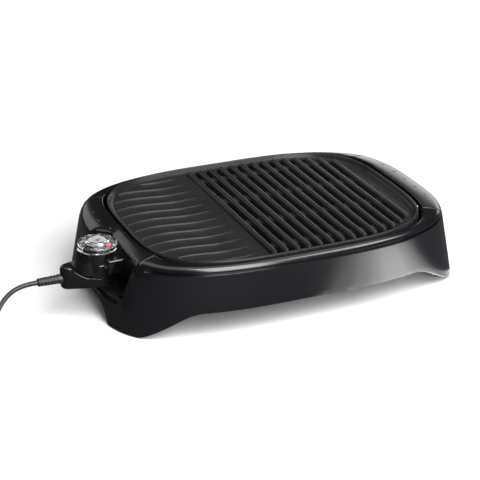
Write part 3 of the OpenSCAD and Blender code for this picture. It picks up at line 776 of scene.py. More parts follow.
CORD = Finish(
    "cord_jacket",
    tone=(0.012, 0.012, 0.013), shade=(0.02, 0.02, 0.021), edge=(0.05, 0.05, 0.05),
    gloss=0.4, spread=0.1, cloud=60.0, grain=1700.0, pits=0.2, wear=0.2,
)


# ---------- the base ----------


@dataclass
class BaseForm:
    """The outlines that the base, the covers and the grid share.

    Attributes:
        foot: Length and width where the base stands.
        foot_n: Squareness of that outline.
        rim: Length and width over the rim.
        rim_n: Squareness of the rim.
        rim_z: Height of the rim's widest line.
        flush_z: Height at which the flush rim takes its outer edge.
        wall: Thickness of the moulding.
        hem_z: Height of the lower edge at the legs.
        side_arch: Height of the long arches over the hem.
        side_end: How far the long arches stop short of the ends.
        side_run: Length over which a long arch rises.
        end_arch: Height of the short arches over the hem.
        end_half: Half the width of a short arch.
        end_run: Width over which a short arch rises.
        grid: Length and width of the cooking grid.
        grid_n: Squareness of the grid.
        end_gap: Gap round the grid at the ends.
        side_gap: Gap round the grid at the front and back.
        seam_x: Where a handle's seam is seam_y from the middle line.
        seam_y: Its distance there.
        seam_slope: How fast the seam spreads outwards.
        play: Gap on each side of a seam.
    """

    foot: Flat = (454.0, 310.0)
    foot_n: float = 3.4
    rim: Flat = (429.0, 300.0)
    rim_n: float = 3.05
    rim_z: float = 82.5
    flush_z: float = 78.0
    wall: float = 2.6
    hem_z: float = 0.5
    side_arch: float = 32.0
    side_end: float = 25.0
    side_run: float = 65.0
    end_arch: float = 22.0
    end_half: float = 68.0
    end_run: float = 33.0
    grid: Flat = (352.0, 280.0)
    grid_n: float = 3.575
    end_gap: float = 5.3
    side_gap: float = 3.0
    seam_x: float = 180.0
    seam_y: float = 92.0
    seam_slope: float = 0.265
    play: float = 0.3

    def skirt_oval(self, z: float) -> tuple[float, float, float]:
        """The skirt's outline at one height.

        Args:
            z: The height.

        Returns:
            Half its length, half its width and its squareness.
        """
        k = z / self.rim_z
        a = mix(self.foot[0], self.rim[0], k) / 2
        b = mix(self.foot[1], self.rim[1], k) / 2
        return (a, b, mix(self.foot_n, self.rim_n, k))

    def skirt(self, angle: float, z: float) -> float:
        """Returns how far the skirt stands from the middle, in that direction at that height."""
        return oval_radius(*self.skirt_oval(z), angle)

    def skirt_at(self, y: float, z: float) -> float:
        """Returns how far the skirt reaches along X, at that y and height."""
        return oval_reach(*self.skirt_oval(z), y)

    def grid_oval(self, along: float, across: float) -> tuple[float, float, float]:
        """Returns the grid's half length, half width and squareness, each half grown by that much."""
        return (self.grid[0] / 2 + along, self.grid[1] / 2 + across, self.grid_n)

    def lip(self, angle: float) -> float:
        """Returns how far the opening round the grid stands from the middle."""
        return oval_radius(*self.grid_oval(self.end_gap, self.side_gap), angle)

    def lip_at(self, y: float) -> float:
        """Returns how far the opening round the grid reaches along X at that y."""
        return oval_reach(*self.grid_oval(self.end_gap, self.side_gap), y)

    def seam(self, x: float) -> float:
        """Returns how far from the middle line a handle's seam is at that x."""
        return self.seam_y + (abs(x) - self.seam_x) * self.seam_slope

    def hem(self, angle: float) -> float:
        """Height of the skirt's lower edge.

        Args:
            angle: Direction in radians.

        Returns:
            The height.
        """
        x, y = polar(self.skirt(angle, 0.0), angle)
        u = clamp((self.foot[0] / 2 - self.side_end - abs(x)) / self.side_run)
        v = clamp((self.end_half - abs(y)) / self.end_run)
        side = self.side_arch * (smooth(u) + 1 - (1 - u) ** 2) / 2
        return self.hem_z + max(side, self.end_arch * (1 - (1 - v) ** 2))


# The four corners as sides along X and Y: -1 is left or front, 1 is right or back
CORNERS = ((-1, -1), (-1, 1), (1, -1), (1, 1))
# The rim beside a handle is flush with it: share of the way in from the edge, and height
FLUSH = [
    (0.0, 75.6), (0.004, 76.6), (0.015, 77.8), (0.03, 79.0), (0.048, 80.2), (0.07, 81.3),
    (0.095, 82.4), (0.13, 83.5), (0.17, 84.5), (0.23, 85.5), (0.3, 86.2), (0.4, 87.0),
    (0.55, 87.75), (0.75, 88.6), (0.93, 89.0),
]
# Elsewhere it is a round bead over a groove: distance in from the edge, and height
BEAD = [
    (2.45, 78.2), (2.0, 79.0), (0.75, 79.4), (0.15, 80.3), (0.45, 81.5), (1.05, 82.7), (1.85, 83.8),
    (2.9, 84.7), (4.2, 85.35),
]


@dataclass
class Base:
    """The black base moulding with its rim, legs, port and inner floor.

    Attributes:
        form: The shared outlines.
        steps: Points round the wall.
        skirt_top: Height at which the straight skirt ends.
        blend: Length over which the rim turns from flush to a bead.
        bead_in: How far in the bead ends.
        brink_z: Height of the inner edge beside the bead and beside a handle.
        floor_z: Height of the floor inside.
        port_y: Middle of the notch for the control.
        port_half: Half the width of the recess behind the notch.
        room_x: Where the room for a handle starts and ends.
        room_z: Bottom and top of the cutter for that room.
        corner: Corner of the wall that stays beside the control.
        leg: Middle of a leg's pocket.
        leg_turn: How far the pocket is turned, in degrees.
        port_lip_r: Radius of the notch's lip.
        seam_lip_r: Radius of a seam's lip.
    """

    form: BaseForm
    steps: int = 480
    skirt_top: float = 75.0
    blend: float = 24.0
    bead_in: float = 4.2
    brink_z: Flat = (85.0, 88.4)
    floor_z: float = 35.0
    port_y: float = -37.0
    port_half: float = 50.0
    room_x: Flat = (150.0, 260.0)
    room_z: Flat = (59.2, 120.0)
    corner: Flat = (-197.6, -90.3)
    leg: Flat = (214.0, 93.0)
    leg_turn: float = 25.0
    port_lip_r: float = 0.75
    seam_lip_r: float = 0.5

    def section(self, angle: float) -> list[Point]:
        """Outline of the wall in one direction.

        Args:
            angle: Direction in radians.

        Returns:
            The closed outline, from the hem up the outside and down the inside.
        """
        f = self.form
        hem, lip, edge = f.hem(angle), f.lip(angle), f.skirt(angle, f.rim_z)
        flush = 1.0 - smooth((abs(edge * math.sin(angle)) - f.seam_y - 2.0) / self.blend)
        outline = [(f.skirt(angle, hem) - 0.6, hem), (f.skirt(angle, hem) - 0.15, hem + 0.2)]
        for i in range(9):
            z = mix(hem + 0.7, self.skirt_top, i / 8)
            outline.append((f.skirt(angle, z), z))
        bead = [(f.skirt(angle, 76.6), 76.6), (f.skirt(angle, 76.9) - 0.12, 76.9), (edge - 2.4, 77.0)]
        bead += [(edge - inset, z) for inset, z in BEAD]
        for share, z in ((0.4, 85.7), (0.8, 85.75)):
            bead.append((mix(edge - self.bead_in, lip + 0.9, share), z))
        bead.append((lip + 0.9, 85.4))
        side = f.skirt(angle, f.flush_z)
        level = [(mix(side, lip, share), z) for share, z in FLUSH]
        outline += [(mix(p[0], q[0], flush), mix(p[1], q[1], flush)) for p, q in zip(bead, level)]
        top = mix(*self.brink_z, flush)
        outline += [(lip + 0.25, top), (lip, top - 0.8), (lip, 81.0), (lip + 1.3, 81.0)]
        outline += [(mix(edge - 4.6, lip + 1.3, 0.5), 82.6), (edge - 4.6, 80.6)]
        for i in range(6):
            z = mix(self.skirt_top - 1.5, hem + 0.2, i / 5)
            outline.append((f.skirt(angle, z) - f.wall, z))
        outline.append((f.skirt(angle, hem) - f.wall + 0.3, hem))
        return [(*polar(r, angle), z) for r, z in outline]

    def port_outline(self) -> list[Flat]:
        """The notch that the control plugs in through.

        Returns:
            Its outline as (y, z).
        """
        half = [(55.0, 96.0), (53.5, 72.0), (51.0, 58.0), (49.0, 46.0)]
        half += arc((34.0, 44.0), 15.0, -10.0, -80.0, 10)
        half += [(16.0, 27.6)]
        return [(y + self.port_y, z) for y, z in half] + [(self.port_y - y, z) for y, z in reversed(half)]

    def shell(self) -> bpy.types.Object:
        """The outer wall with the openings for the handles and the control.

        Returns:
            The object.
        """
        wall = Draft().loft([self.section(t) for t in turns_of(self.steps)], True).build("base_body")
        start, end = self.room_x
        near, far = self.form.seam(start) + self.form.play, self.form.seam(end) + self.form.play
        cutters = [Draft().side_prism(self.port_outline(), -245, -200).build("cut_port")]
        for side in (-1, 1):
            front = [(side * start, -near), (side * end, -far)]
            if side < 0:
                x, y = self.corner
                front = [(-start, -near), (x, -self.form.seam(x) - self.form.play), (x, y), (-end, y)]
            room = front + [(side * end, far), (side * start, near)]
            cutters.append(Draft().prism(room, *self.room_z).build("cut_room"))
        scoop = arc((34, 54), 14, 0, -90, 10) + arc((-34, 54), 14, -90, -180, 10) + [(-48, 70), (48, 70)]
        cutters.append(Draft().side_prism(scoop, 200, 245).build("cut_scoop"))
        carve(wall, cutters)
        return wall

    def level(self, z: float, inset: float) -> list[Flat]:
        """Returns the skirt's outline at that height, moved in by inset."""
        return [polar(self.form.skirt(t, z) - inset, t) for t in turns_of(180)]

    def pocket(self, low: Flat, high: Flat, mx: int, my: int) -> list[Flat]:
        """Part of a leg's pocket, which lies square to its corner.

        Args:
            low: Near corner of the part.
            high: Far corner of the part.
            mx: -1 for the left legs, 1 for the right ones.
            my: -1 for the front legs, 1 for the back ones.

        Returns:
            The outline from above.
        """
        turn = Matrix.Rotation(math.radians(self.leg_turn), 3, "Z")
        middle = Vector((*self.leg, 0.0))
        turned = [turn @ Vector((x, y, 0.0)) + middle for x, y in box_outline(low, high)]
        return [(mx * p.x, my * p.y) for p in turned]

    def inside(self) -> bpy.types.Object:
        """The floor, the leg pockets, the port's recess and the posts that carry the grid.

        Returns:
            All of them as one object.
        """
        thick = 2.4
        floor = Draft().prism(self.level(self.floor_z, 1.8), self.floor_z - thick, self.floor_z)
        floor = floor.build("base_inside")
        rim, clear = self.level(self.floor_z, 1.6), self.level(41, self.form.wall + 1)
        cutters = []
        walls = Draft()
        pocket_walls = (((-23, -27), (-20.6, 27)), ((-21, -27), (27, -24.6)), ((-21, 24.6), (27, 27)))
        for mx, my in CORNERS:
            hole = within(self.pocket((-20.6, -24.6), (27, 24.6), mx, my), clear)
            cutters.append(Draft().prism(hole, 30, 40).build("cut_leg"))
            for low, high in pocket_walls:
                walls.prism(within(self.pocket(low, high, mx, my), rim), 2.6, self.floor_z - 1.4)
            bottom = within(self.pocket((-23, -27), (27, 27), mx, my), self.level(6, 1.6))
            walls.prism(bottom, 2.2, 4.6)
            walls.corner_box((mx, my), (163, 177), (71, 79), (34, 71.9))
        out, back = -250, -188
        front, rear = self.port_y - self.port_half, self.port_y + self.port_half
        hole = within(box_outline((out, front + thick), (back - thick, rear - thick)), clear)
        cutters.append(Draft().prism(hole, 30, 40).build("cut_port"))
        carve(floor, cutters)
        walls.prism(within(box_outline((out, front), (back, rear)), self.level(28, 1.6)), 24.6, 27)
        recess_walls = (
            ((back - thick, front), (back, rear)),
            ((out, front), (back - 2, front + thick)),
            ((out, rear - thick), (back - 2, rear)),
        )
        for low, high in recess_walls:
            walls.prism(within(box_outline(low, high), rim), 25, self.floor_z - 1)
        return join([floor, walls.build("base_walls")])

    def port_lip(self) -> bpy.types.Object:
        """The thin rounded lip along the edge of the control's notch.

        Returns:
            The object.
        """
        points = [(y, z) for y, z in self.port_outline() if z < 80.0]
        dense: list[Flat] = []
        for (y0, z0), (y1, z1) in zip(points, points[1:]):
            parts = max(1, int(math.hypot(y1 - y0, z1 - z0) / 2))
            dense += [(mix(y0, y1, i / parts), mix(z0, z1, i / parts)) for i in range(parts)]
        dense = [p for p in dense if abs(p[0]) < 91.5 and (p[1] < 59.0 or p[0] < -86)]
        spots = [(-self.form.skirt_at(y, z) + 0.55, y, z) for y, z in dense]
        return Draft().tube(spots, [self.port_lip_r] * len(spots), 8).build("port_lip", 60.0)

    def seam_lips(self) -> bpy.types.Object:
        """The rounded edges of the base along the four seams of the handles.

        Returns:
            All four as one object.
        """
        f, lips = self.form, Draft()
        for mx, my in CORNERS:
            spots = []
            for share, z in FLUSH[3:]:
                x, y = 0.0, f.seam_y
                for _ in range(4):
                    x = mix(f.skirt_at(y, f.flush_z), f.lip_at(y), share)
                    y = f.seam(x) + 0.7
                if mx > 0 or my > 0 or x < 197.2:
                    spots.append((mx * x, my * y, z - 0.28))
            lips.tube(spots, [self.seam_lip_r] * len(spots), 10)
        return lips.build("seam_lips", 60.0)

    def make(self, kit: "Kit") -> None:
        """Builds the base and dresses it.

        Args:
            kit: Where finished pieces are handed in.
        """
        kit.hand_in(self.shell(), "base", GLOSSY_BASE, ["base_shell"])
        kit.hand_in(self.inside(), "base", DEEP_BLACK)
        kit.hand_in(self.port_lip(), "base", GLOSSY_BASE)
        kit.hand_in(self.seam_lips(), "base", GLOSSY_BASE)
        kit.dress("rubber_feet", RUBBER)


def join(pieces: Sequence[bpy.types.Object]) -> bpy.types.Object:
    """Joins mesh objects into the first of them.

    Args:
        pieces: Objects in the shared frame.

    Returns:
        The first object, now holding every mesh.
    """
    work = bmesh.new()
    for piece in pieces:
        work.from_mesh(piece.data)
    work.to_mesh(pieces[0].data)
    work.free()
    for piece in pieces[1:]:
        bpy.data.objects.remove(piece)
    return pieces[0]


# ---------- handing in ----------


class Kit:
    """Hands finished pieces to the frame and keeps count of them."""

    def __init__(self) -> None:
        """Starts with no pieces."""
        self.effects = Effects()
        self.made: list[str] = []

    def hand_in(
        self,
        piece: bpy.types.Object,
        body: str,
        finish: Finish,
        nodes: Sequence[str] = (),
    ) -> bpy.types.Object:
        """Gives a piece its finish, its body and the nodes that it stands for.

        Args:
            piece: The mesh object.
            body: The body it moves with.
            finish: Its material.
            nodes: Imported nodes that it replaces.

        Returns:
            The piece.
        """
        piece.data.materials.clear()
        piece.data.materials.append(finish.material(self.effects))
        if nodes:
            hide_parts(*nodes)
        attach(piece, body)
        self.made.append(piece.name)
        LOG.info("%s rides on %s, %d faces", piece.name, body, len(piece.data.polygons))
        return piece

    def dress(self, node: str, finish: Finish) -> None:
        """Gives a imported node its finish.

        Args:
            node: The node's name.
            finish: Its material.
        """
        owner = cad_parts[node]
        material = finish.material(self.effects)
        if not owner.material_slots:
            owner.data.materials.append(material)
        for slot in owner.material_slots:
            slot.material = material
        LOG.info("%s keeps its solid, finish %s", node, finish.name)


# ---------- handles ----------


@dataclass
class Covers:
    """The two handles that cover the ends of the base.

    Attributes:
        form: The shared outlines.
        steps: Stretches along a handle.
        low: Height of the lower edge.
        wall: Thickness of the moulding.
        scoop_x: How far out the left handle is cut back to, beside the control.
        nose: Low and high corner of the opening for the control's nose.
        dimples: Places of the small dents along the top.
        dimple: Half width and depth of a dent.
        pillar: Place of a screw pillar.
    """

    form: BaseForm
    steps: int = 110
    low: float = 60.0
    wall: float = 2.6
    scoop_x: float = 197.0
    nose: tuple[Point, Point] = ((-215.0, -62.0, 50.0), (-190.0, -12.0, 80.0))
    dimples: tuple[float, ...] = (-54.0, -27.0, 0.0, 27.0, 54.0)
    dimple: Flat = (2.35, 2.3)
    pillar: Flat = (186.0, 66.0)

    def outer(self, y: float, z: float, cut: bool) -> float:
        """Distance of a handle's outer edge from the middle.

        Args:
            y: Place along the handle.
            z: Height.
            cut: True for the handle that is set back beside the control.

        Returns:
            The distance along X.
        """
        full = self.form.skirt_at(y, z)
        if not cut:
            return full
        return mix(min(full, self.scoop_x), full, smooth((y + 12) / 28))

    def section(self, y: float, cut: bool) -> list[Flat]:
        """Closed outline of a handle across its length.

        Args:
            y: Place along the handle.
            cut: True for the handle that is set back beside the control.

        Returns:
            Points as (distance along X, height).
        """
        lip, edge = self.form.lip_at(y), self.outer(y, self.form.flush_z, cut)
        foot = self.outer(y, self.low, cut)
        out = [(foot - 0.5, self.low), (foot, self.low + 0.5)]
        out += [(self.outer(y, z, cut), z) for z in (63.0, 66.5, 70.0, 73.5)]
        out += [(mix(edge, lip, share), z) for share, z in FLUSH]
        brink = [(0.6, 89.0), (0.1, 88.5), (0.0, 87.6), (0.0, 81.0), (2.2, 81.0), (2.4, 85.9)]
        out += [(lip + off, z) for off, z in brink]
        inner = [(0.8, 85.8), (0.52, 84.8), (0.32, 83.4)]
        out += [(mix(edge, lip, share), z) for share, z in inner]
        out += [(mix(edge, lip, 0.2) - 0.6, 81.2), (mix(edge, lip, 0.1) - 1.2, 77.0)]
        out += [(self.outer(y, z, cut) - self.wall, z) for z in (72.0, self.low)]
        return out

    def shell(self, name: str, side: int, cut: bool) -> bpy.types.Object:
        """Builds one handle.

        Args:
            name: Its name.
            side: -1 for the left end, 1 for the right one.
            cut: True for the handle that is set back beside the control.

        Returns:
            The object.
        """
        rows = []
        for i in range(self.steps + 1):
            v = mix(-1, 1, i / self.steps)
            row = []
            for j, (x, _) in enumerate(self.section(v * self.form.seam_y, cut)):
                y = v * (self.form.seam(x) - self.form.play)
                fit, z = self.section(y, cut)[j]
                row.append((side * fit, y, z))
            rows.append(row)
        piece = Draft().loft(rows, False).build(name)
        soften(piece, 0.7, 3)
        cutters = []
        wide, deep = self.dimple
        bends = [math.radians(a) for a in range(-75, 90, 15)]
        profile = [(wide * math.cos(t), deep * math.sin(t)) for t in bends]
        profile = [(0.0, -deep)] + profile + [(0.0, deep)]
        for y in self.dimples:
            x = mix(self.outer(y, 80, cut), self.form.lip_at(y), 0.5)
            cutters.append(Draft().turned(profile, (side * x, y, 88.9), steps=24).build("dimple"))
        if cut:
            cutters.append(Draft().box(*self.nose).build("cut_nose"))
        carve(piece, cutters)
        pillars = Draft()
        post = [(0, 76.05), (4.6, 76.05), (4.6, 85.2), (0, 85.2)]
        for y in (-self.pillar[1], self.pillar[1]):
            pillars.turned(post, (side * self.pillar[0], y, 0), steps=32)
        return join([piece, pillars.build("pillars")])

    def make(self, kit: Kit) -> None:
        """Builds both handles and dresses them.

        Args:
            kit: Where finished pieces are handed in.
        """
        for name, side, node in (("cover_left", -1, "left_handle"), ("cover_right", 1, "right_handle")):
            shell = self.shell(name, side, side < 0)
            kit.hand_in(shell, "cooking_grid", SATIN_COVER, [node])
        kit.dress("handle_screws", STEEL)


# ---------- cooking grid ----------


@dataclass
class Grid:
    """The cast cooking grid with its heater underneath.

    Attributes:
        form: The shared outlines.
        top: Height of the plate between the bars.
        thick: Thickness of the plate.
        bar_x0: Place of the first bar.
        pitch: Distance between bars.
        bars: How many bars there are.
        bar_round: Half width of a bar at its foot, which rounds its ends.
        slot: Width of a grease slot.
        slot_round: Radius of a slot's corners.
        rows: Where each row of slots starts and ends.
        ribs: How many wavy ribs there are.
        rib_y0: Place of the first rib.
        rib_pitch: Distance between ribs.
        wave: How far a rib swings, and its degrees for each millimetre.
        wave_x: Where a rib's wave starts.
        boss_x: Left end of the sensor's boss and the terminal pad.
        clip_spots: Middle of each heater clip and whether it lies along X.
        clip_half: Half the distance between a clip's bosses.
        rod: Radius of the heating rod.
        rod_z: Height of the heating rod.
        pin_z: Height of the pins.
        pin_half: Half the distance between the pins.
        probe_y: Middle of the sensor and the pins.
        steps: Points round the border.
    """

    form: BaseForm
    top: float = 82.4
    thick: float = 3.4
    bar_x0: float = -42.0
    pitch: float = 14.5
    bars: int = 14
    bar_round: float = 3.8
    slot: float = 6.8
    slot_round: float = 2.2
    rows: tuple[Flat, ...] = ((-131, -109), (-99, -41), (-29, 29), (41, 99), (109, 131))
    ribs: int = 12
    rib_y0: float = -121.0
    rib_pitch: float = 22.0
    wave: Flat = (3.4, 3.4)
    wave_x: float = -168.0
    boss_x: float = -176.0
    clip_spots: tuple[tuple[int, int, bool], ...] = (
        (-85, 104, False), (-85, -104, False), (-85, 35, False), (-85, -35, False),
        (140, 40, True), (140, -40, True),
    )
    clip_half: float = 10.5
    rod: float = 3.5
    rod_z: float = 75.4
    pin_z: float = 66.0
    pin_half: float = 14.0
    probe_y: float = -37.0
    steps: int = 360

    def room(self, x: float, margin: float) -> float:
        """Returns half the room along Y inside the border at that x, less a margin."""
        a, b, n = self.form.grid_oval(-margin, -margin)
        return oval_reach(b, a, n, x)

    def border(self) -> Draft:
        """The raised border with its round bead.

        Returns:
            The draft.
        """
        profile = [
            (0.4, 72.0), (0.7, 80.0), (0.8, 86.4), (0.65, 87.5), (0.0, 88.4), (-1.0, 88.75),
            (-2.0, 88.45), (-2.8, 87.5), (-3.3, 86.4), (-3.9, 85.0), (-4.6, 83.8), (-5.6, 83.0),
            (-6.8, 82.55), (-7.6, 82.35), (-7.6, 79.2), (-3.2, 78.0), (-2.6, 72.0),
        ]
        rings = []
        for t in turns_of(self.steps):
            reach = [(oval_radius(*self.form.grid_oval(out, out), t), z) for out, z in profile]
            rings.append([(*polar(r, t), z) for r, z in reach])
        return Draft().loft(rings, True)

    def plate(self) -> bpy.types.Object:
        """The plate with its grease slots.

        Returns:
            The object.
        """
        outline = oval(*self.form.grid_oval(-6.4, -6.4), self.steps)
        plate = Draft().prism(outline, self.top - self.thick, self.top).build("plate")
        holes = Draft()
        for k in range(self.bars - 1):
            x = self.bar_x0 + self.pitch * (k + 0.5)
            reach = self.room(abs(x) + self.slot / 2, 9.6)
            for low, high in self.rows:
                y0, y1 = max(low, -reach), min(high, reach)
                if y1 - y0 > self.slot:
                    corners = ((x - self.slot / 2, y0), (x + self.slot / 2, y1))
                    holes.prism(round_box(*corners, self.slot_round, 4), self.top - 8, self.top + 4)
        carve(plate, [holes.build("holes")])
        return plate

    def bar(self, work: Draft, x: float, half: float) -> None:
        """Adds one tapered bar with round ends.

        Args:
            work: The draft that it goes into.
            x: Its middle.
            half: Half its length.
        """
        rings = []
        levels = [
            (self.bar_round, 81.9), (3.7, 82.7), (3.45, 84.2), (3.1, 85.4), (2.8, 86.0), (2.35, 86.45),
            (1.7, 86.68), (0.8, 86.75),
        ]
        for w, z in levels:
            ends = arc((0, half - self.bar_round), w, 0, 180, 10)
            ends += arc((0, -half + self.bar_round), w, 180, 360, 10)
            rings.append([(px + x, py, z) for px, py in ends])
        work.loft(rings, False)

    def wavy_rib(self, work: Draft, y: float) -> None:
        """Adds one low rib that waves along X at the solid end.

        Args:
            work: The draft that it goes into.
            y: Its place.
        """
        start = -oval_reach(*self.form.grid_oval(-8.6, -8.6), y)
        end = self.bar_x0 - 18
        rings = []
        steps = 40
        swing, pace = self.wave
        crown = ((-0.9, 0.35), (-0.6, 0.8), (-0.2, 1.0), (0.2, 1.0), (0.6, 0.8), (0.9, 0.35))
        for i in range(steps + 1):
            x = mix(start, end, i / steps)
            low = min(1.0, 0.25 + 0.75 * math.sin(math.pi * clamp(i / steps)) ** 0.35)
            middle = y + swing * math.sin(math.radians((x - self.wave_x) * pace))
            half = 1.7 * low
            rise = 3.1 * low
            shape = [(-half, -0.5)] + [(half * u, rise * v) for u, v in crown] + [(half, -0.5)]
            rings.append([(x, middle + dy, self.top + dz) for dy, dz in shape])
        work.loft(rings, False)

    def underside(self) -> Draft:
        """The sensor's boss, the terminal pad, the clip bosses and the handle lugs.

        Returns:
            The draft.
        """
        work = Draft()
        x, y = self.boss_x, self.probe_y
        bore = [(3.2, x), (6.5, x), (6.5, -122), (0, -122), (0, -127), (3.2, -127)]
        work.turned(bore, (0, y, self.pin_z), True, 40)
        work.box((x, y - 5, 70), (-123, y + 5, 79.4))
        work.box((x - 1, y - 22, 57), (x + 6, y + 22, 64))
        work.box((x - 1, y - 22, 68), (x + 6, y + 22, 79))
        for low, high in ((-9, -7), (7, 9)):
            work.box((x - 1, y + low, 64), (x + 6, y + high, 68))
        boss = [(0, 71.9), (4, 71.9), (4, 79.5), (0, 79.5)]
        for cx, cy, along in self.clip_spots:
            for off in (-self.clip_half, self.clip_half):
                spot = (cx + off, cy, 0.0) if along else (cx, cy + off, 0.0)
                work.turned(boss, spot, steps=24)
        for side in CORNERS:
            work.corner_box(side, (172, 193), (60.5, 71.5), (72, 76))
        return work

    def casting(self) -> bpy.types.Object:
        """Joins plate, border, bars, ribs and underside.

        Returns:
            The whole grid as one object.
        """
        top = Draft()
        for k in range(self.bars):
            x = self.bar_x0 + self.pitch * k
            self.bar(top, x, self.room(abs(x) + 2.5, 8.2))
        for k in range(self.ribs):
            self.wavy_rib(top, self.rib_y0 + self.rib_pitch * k)
        parts = [self.plate(), self.border().build("border"), top.build("ribs", 50.0)]
        whole = join(parts + [self.underside().build("under")])
        whole.name = "cooking_plate"
        return whole

    def heater_path(self) -> list[Point]:
        """The line that the heating rod follows.

        Returns:
            Points along its middle.
        """
        y, z, bend = self.probe_y, self.rod_z, self.pin_half
        flat = [(-146.0, y - bend)] + arc((-146, y - 2 * bend), bend, 90, 0, 8)
        flat += arc((-118, -90), bend, 180, 270, 8)
        flat += arc((110, -74), 30, -90, 0, 12) + arc((110, 74), 30, 0, 90, 12)
        flat += arc((-118, 69.5), 34.5, 90, 270, 24) + arc((80, 0), 35, 90, -90, 24)
        flat += [(-104, -35), (-110, -33), (-118, y + 12), (-124, y + bend), (-143, y + bend)]
        climb = [(-172, self.pin_z), (-163, self.pin_z), (-159, self.pin_z + 1.4), (-151, z - 1.4)]
        path = [(px, y - bend, pz) for px, pz in climb]
        path += [(px, py, z) for px, py in flat]
        path += [(px, y + bend, pz) for px, pz in reversed(climb)]
        return path

    def make(self, kit: Kit) -> None:
        """Builds the grid and the heater, and dresses what is under them.

        Args:
            kit: Where finished pieces are handed in.
        """
        kit.hand_in(self.casting(), "cooking_grid", NON_STICK, ["grid_plate"])
        path = self.heater_path()
        rod = Draft().tube(path, [self.rod] * len(path), 20).build("heater_rod", 60.0)
        kit.hand_in(rod, "cooking_grid", HEATER, ["heating_element"])
        for node in ("terminal_pins", "element_clips", "clip_screws", "shroud_screws"):
            kit.dress(node, STEEL)
        kit.dress("pin_insulators", CERAMIC)
        kit.dress("socket_shroud", DEEP_BLACK)


@dataclass
class Tray:
    """The lift-out drip tray.

    Attributes:
        size: Length and width over its lip.
        squareness: Squareness of its outline.
        floor: Height that it stands at.
        height: Its own height.
    """

    size: Flat = (316.0, 282.0)
    squareness: float = 3.6
    floor: float = 35.0
    height: float = 17.0

    def make(self, kit: Kit) -> None:
        """Builds the tray.

        Args:
            kit: Where finished pieces are handed in.
        """
        rise = self.height
        profile = [
            (16.0, 0.0), (14.4, 0.25), (13.2, 1.0), (12.6, 2.0), (3.6, rise - 2.7), (3.2, rise - 2.35),
            (0.6, rise - 2.2), (0.1, rise - 1.7), (0.0, rise - 1.0), (0.3, rise - 0.3), (1.2, rise),
            (3.2, rise - 0.1), (4.6, rise - 1.0), (14.2, 3.6), (15.2, 2.5), (17.0, 2.0),
        ]
        rings = []
        for inset, z in profile:
            ring = oval(self.size[0] / 2 - inset, self.size[1] / 2 - inset, self.squareness, 240)
            rings.append([(x, y, self.floor + z) for x, y in ring])
        tray = Draft().loft(rings, False).build("tray")
        kit.hand_in(tray, "drip_tray", TRAY_COAT, ["drip_tray"])


# ---------- temperature control ----------


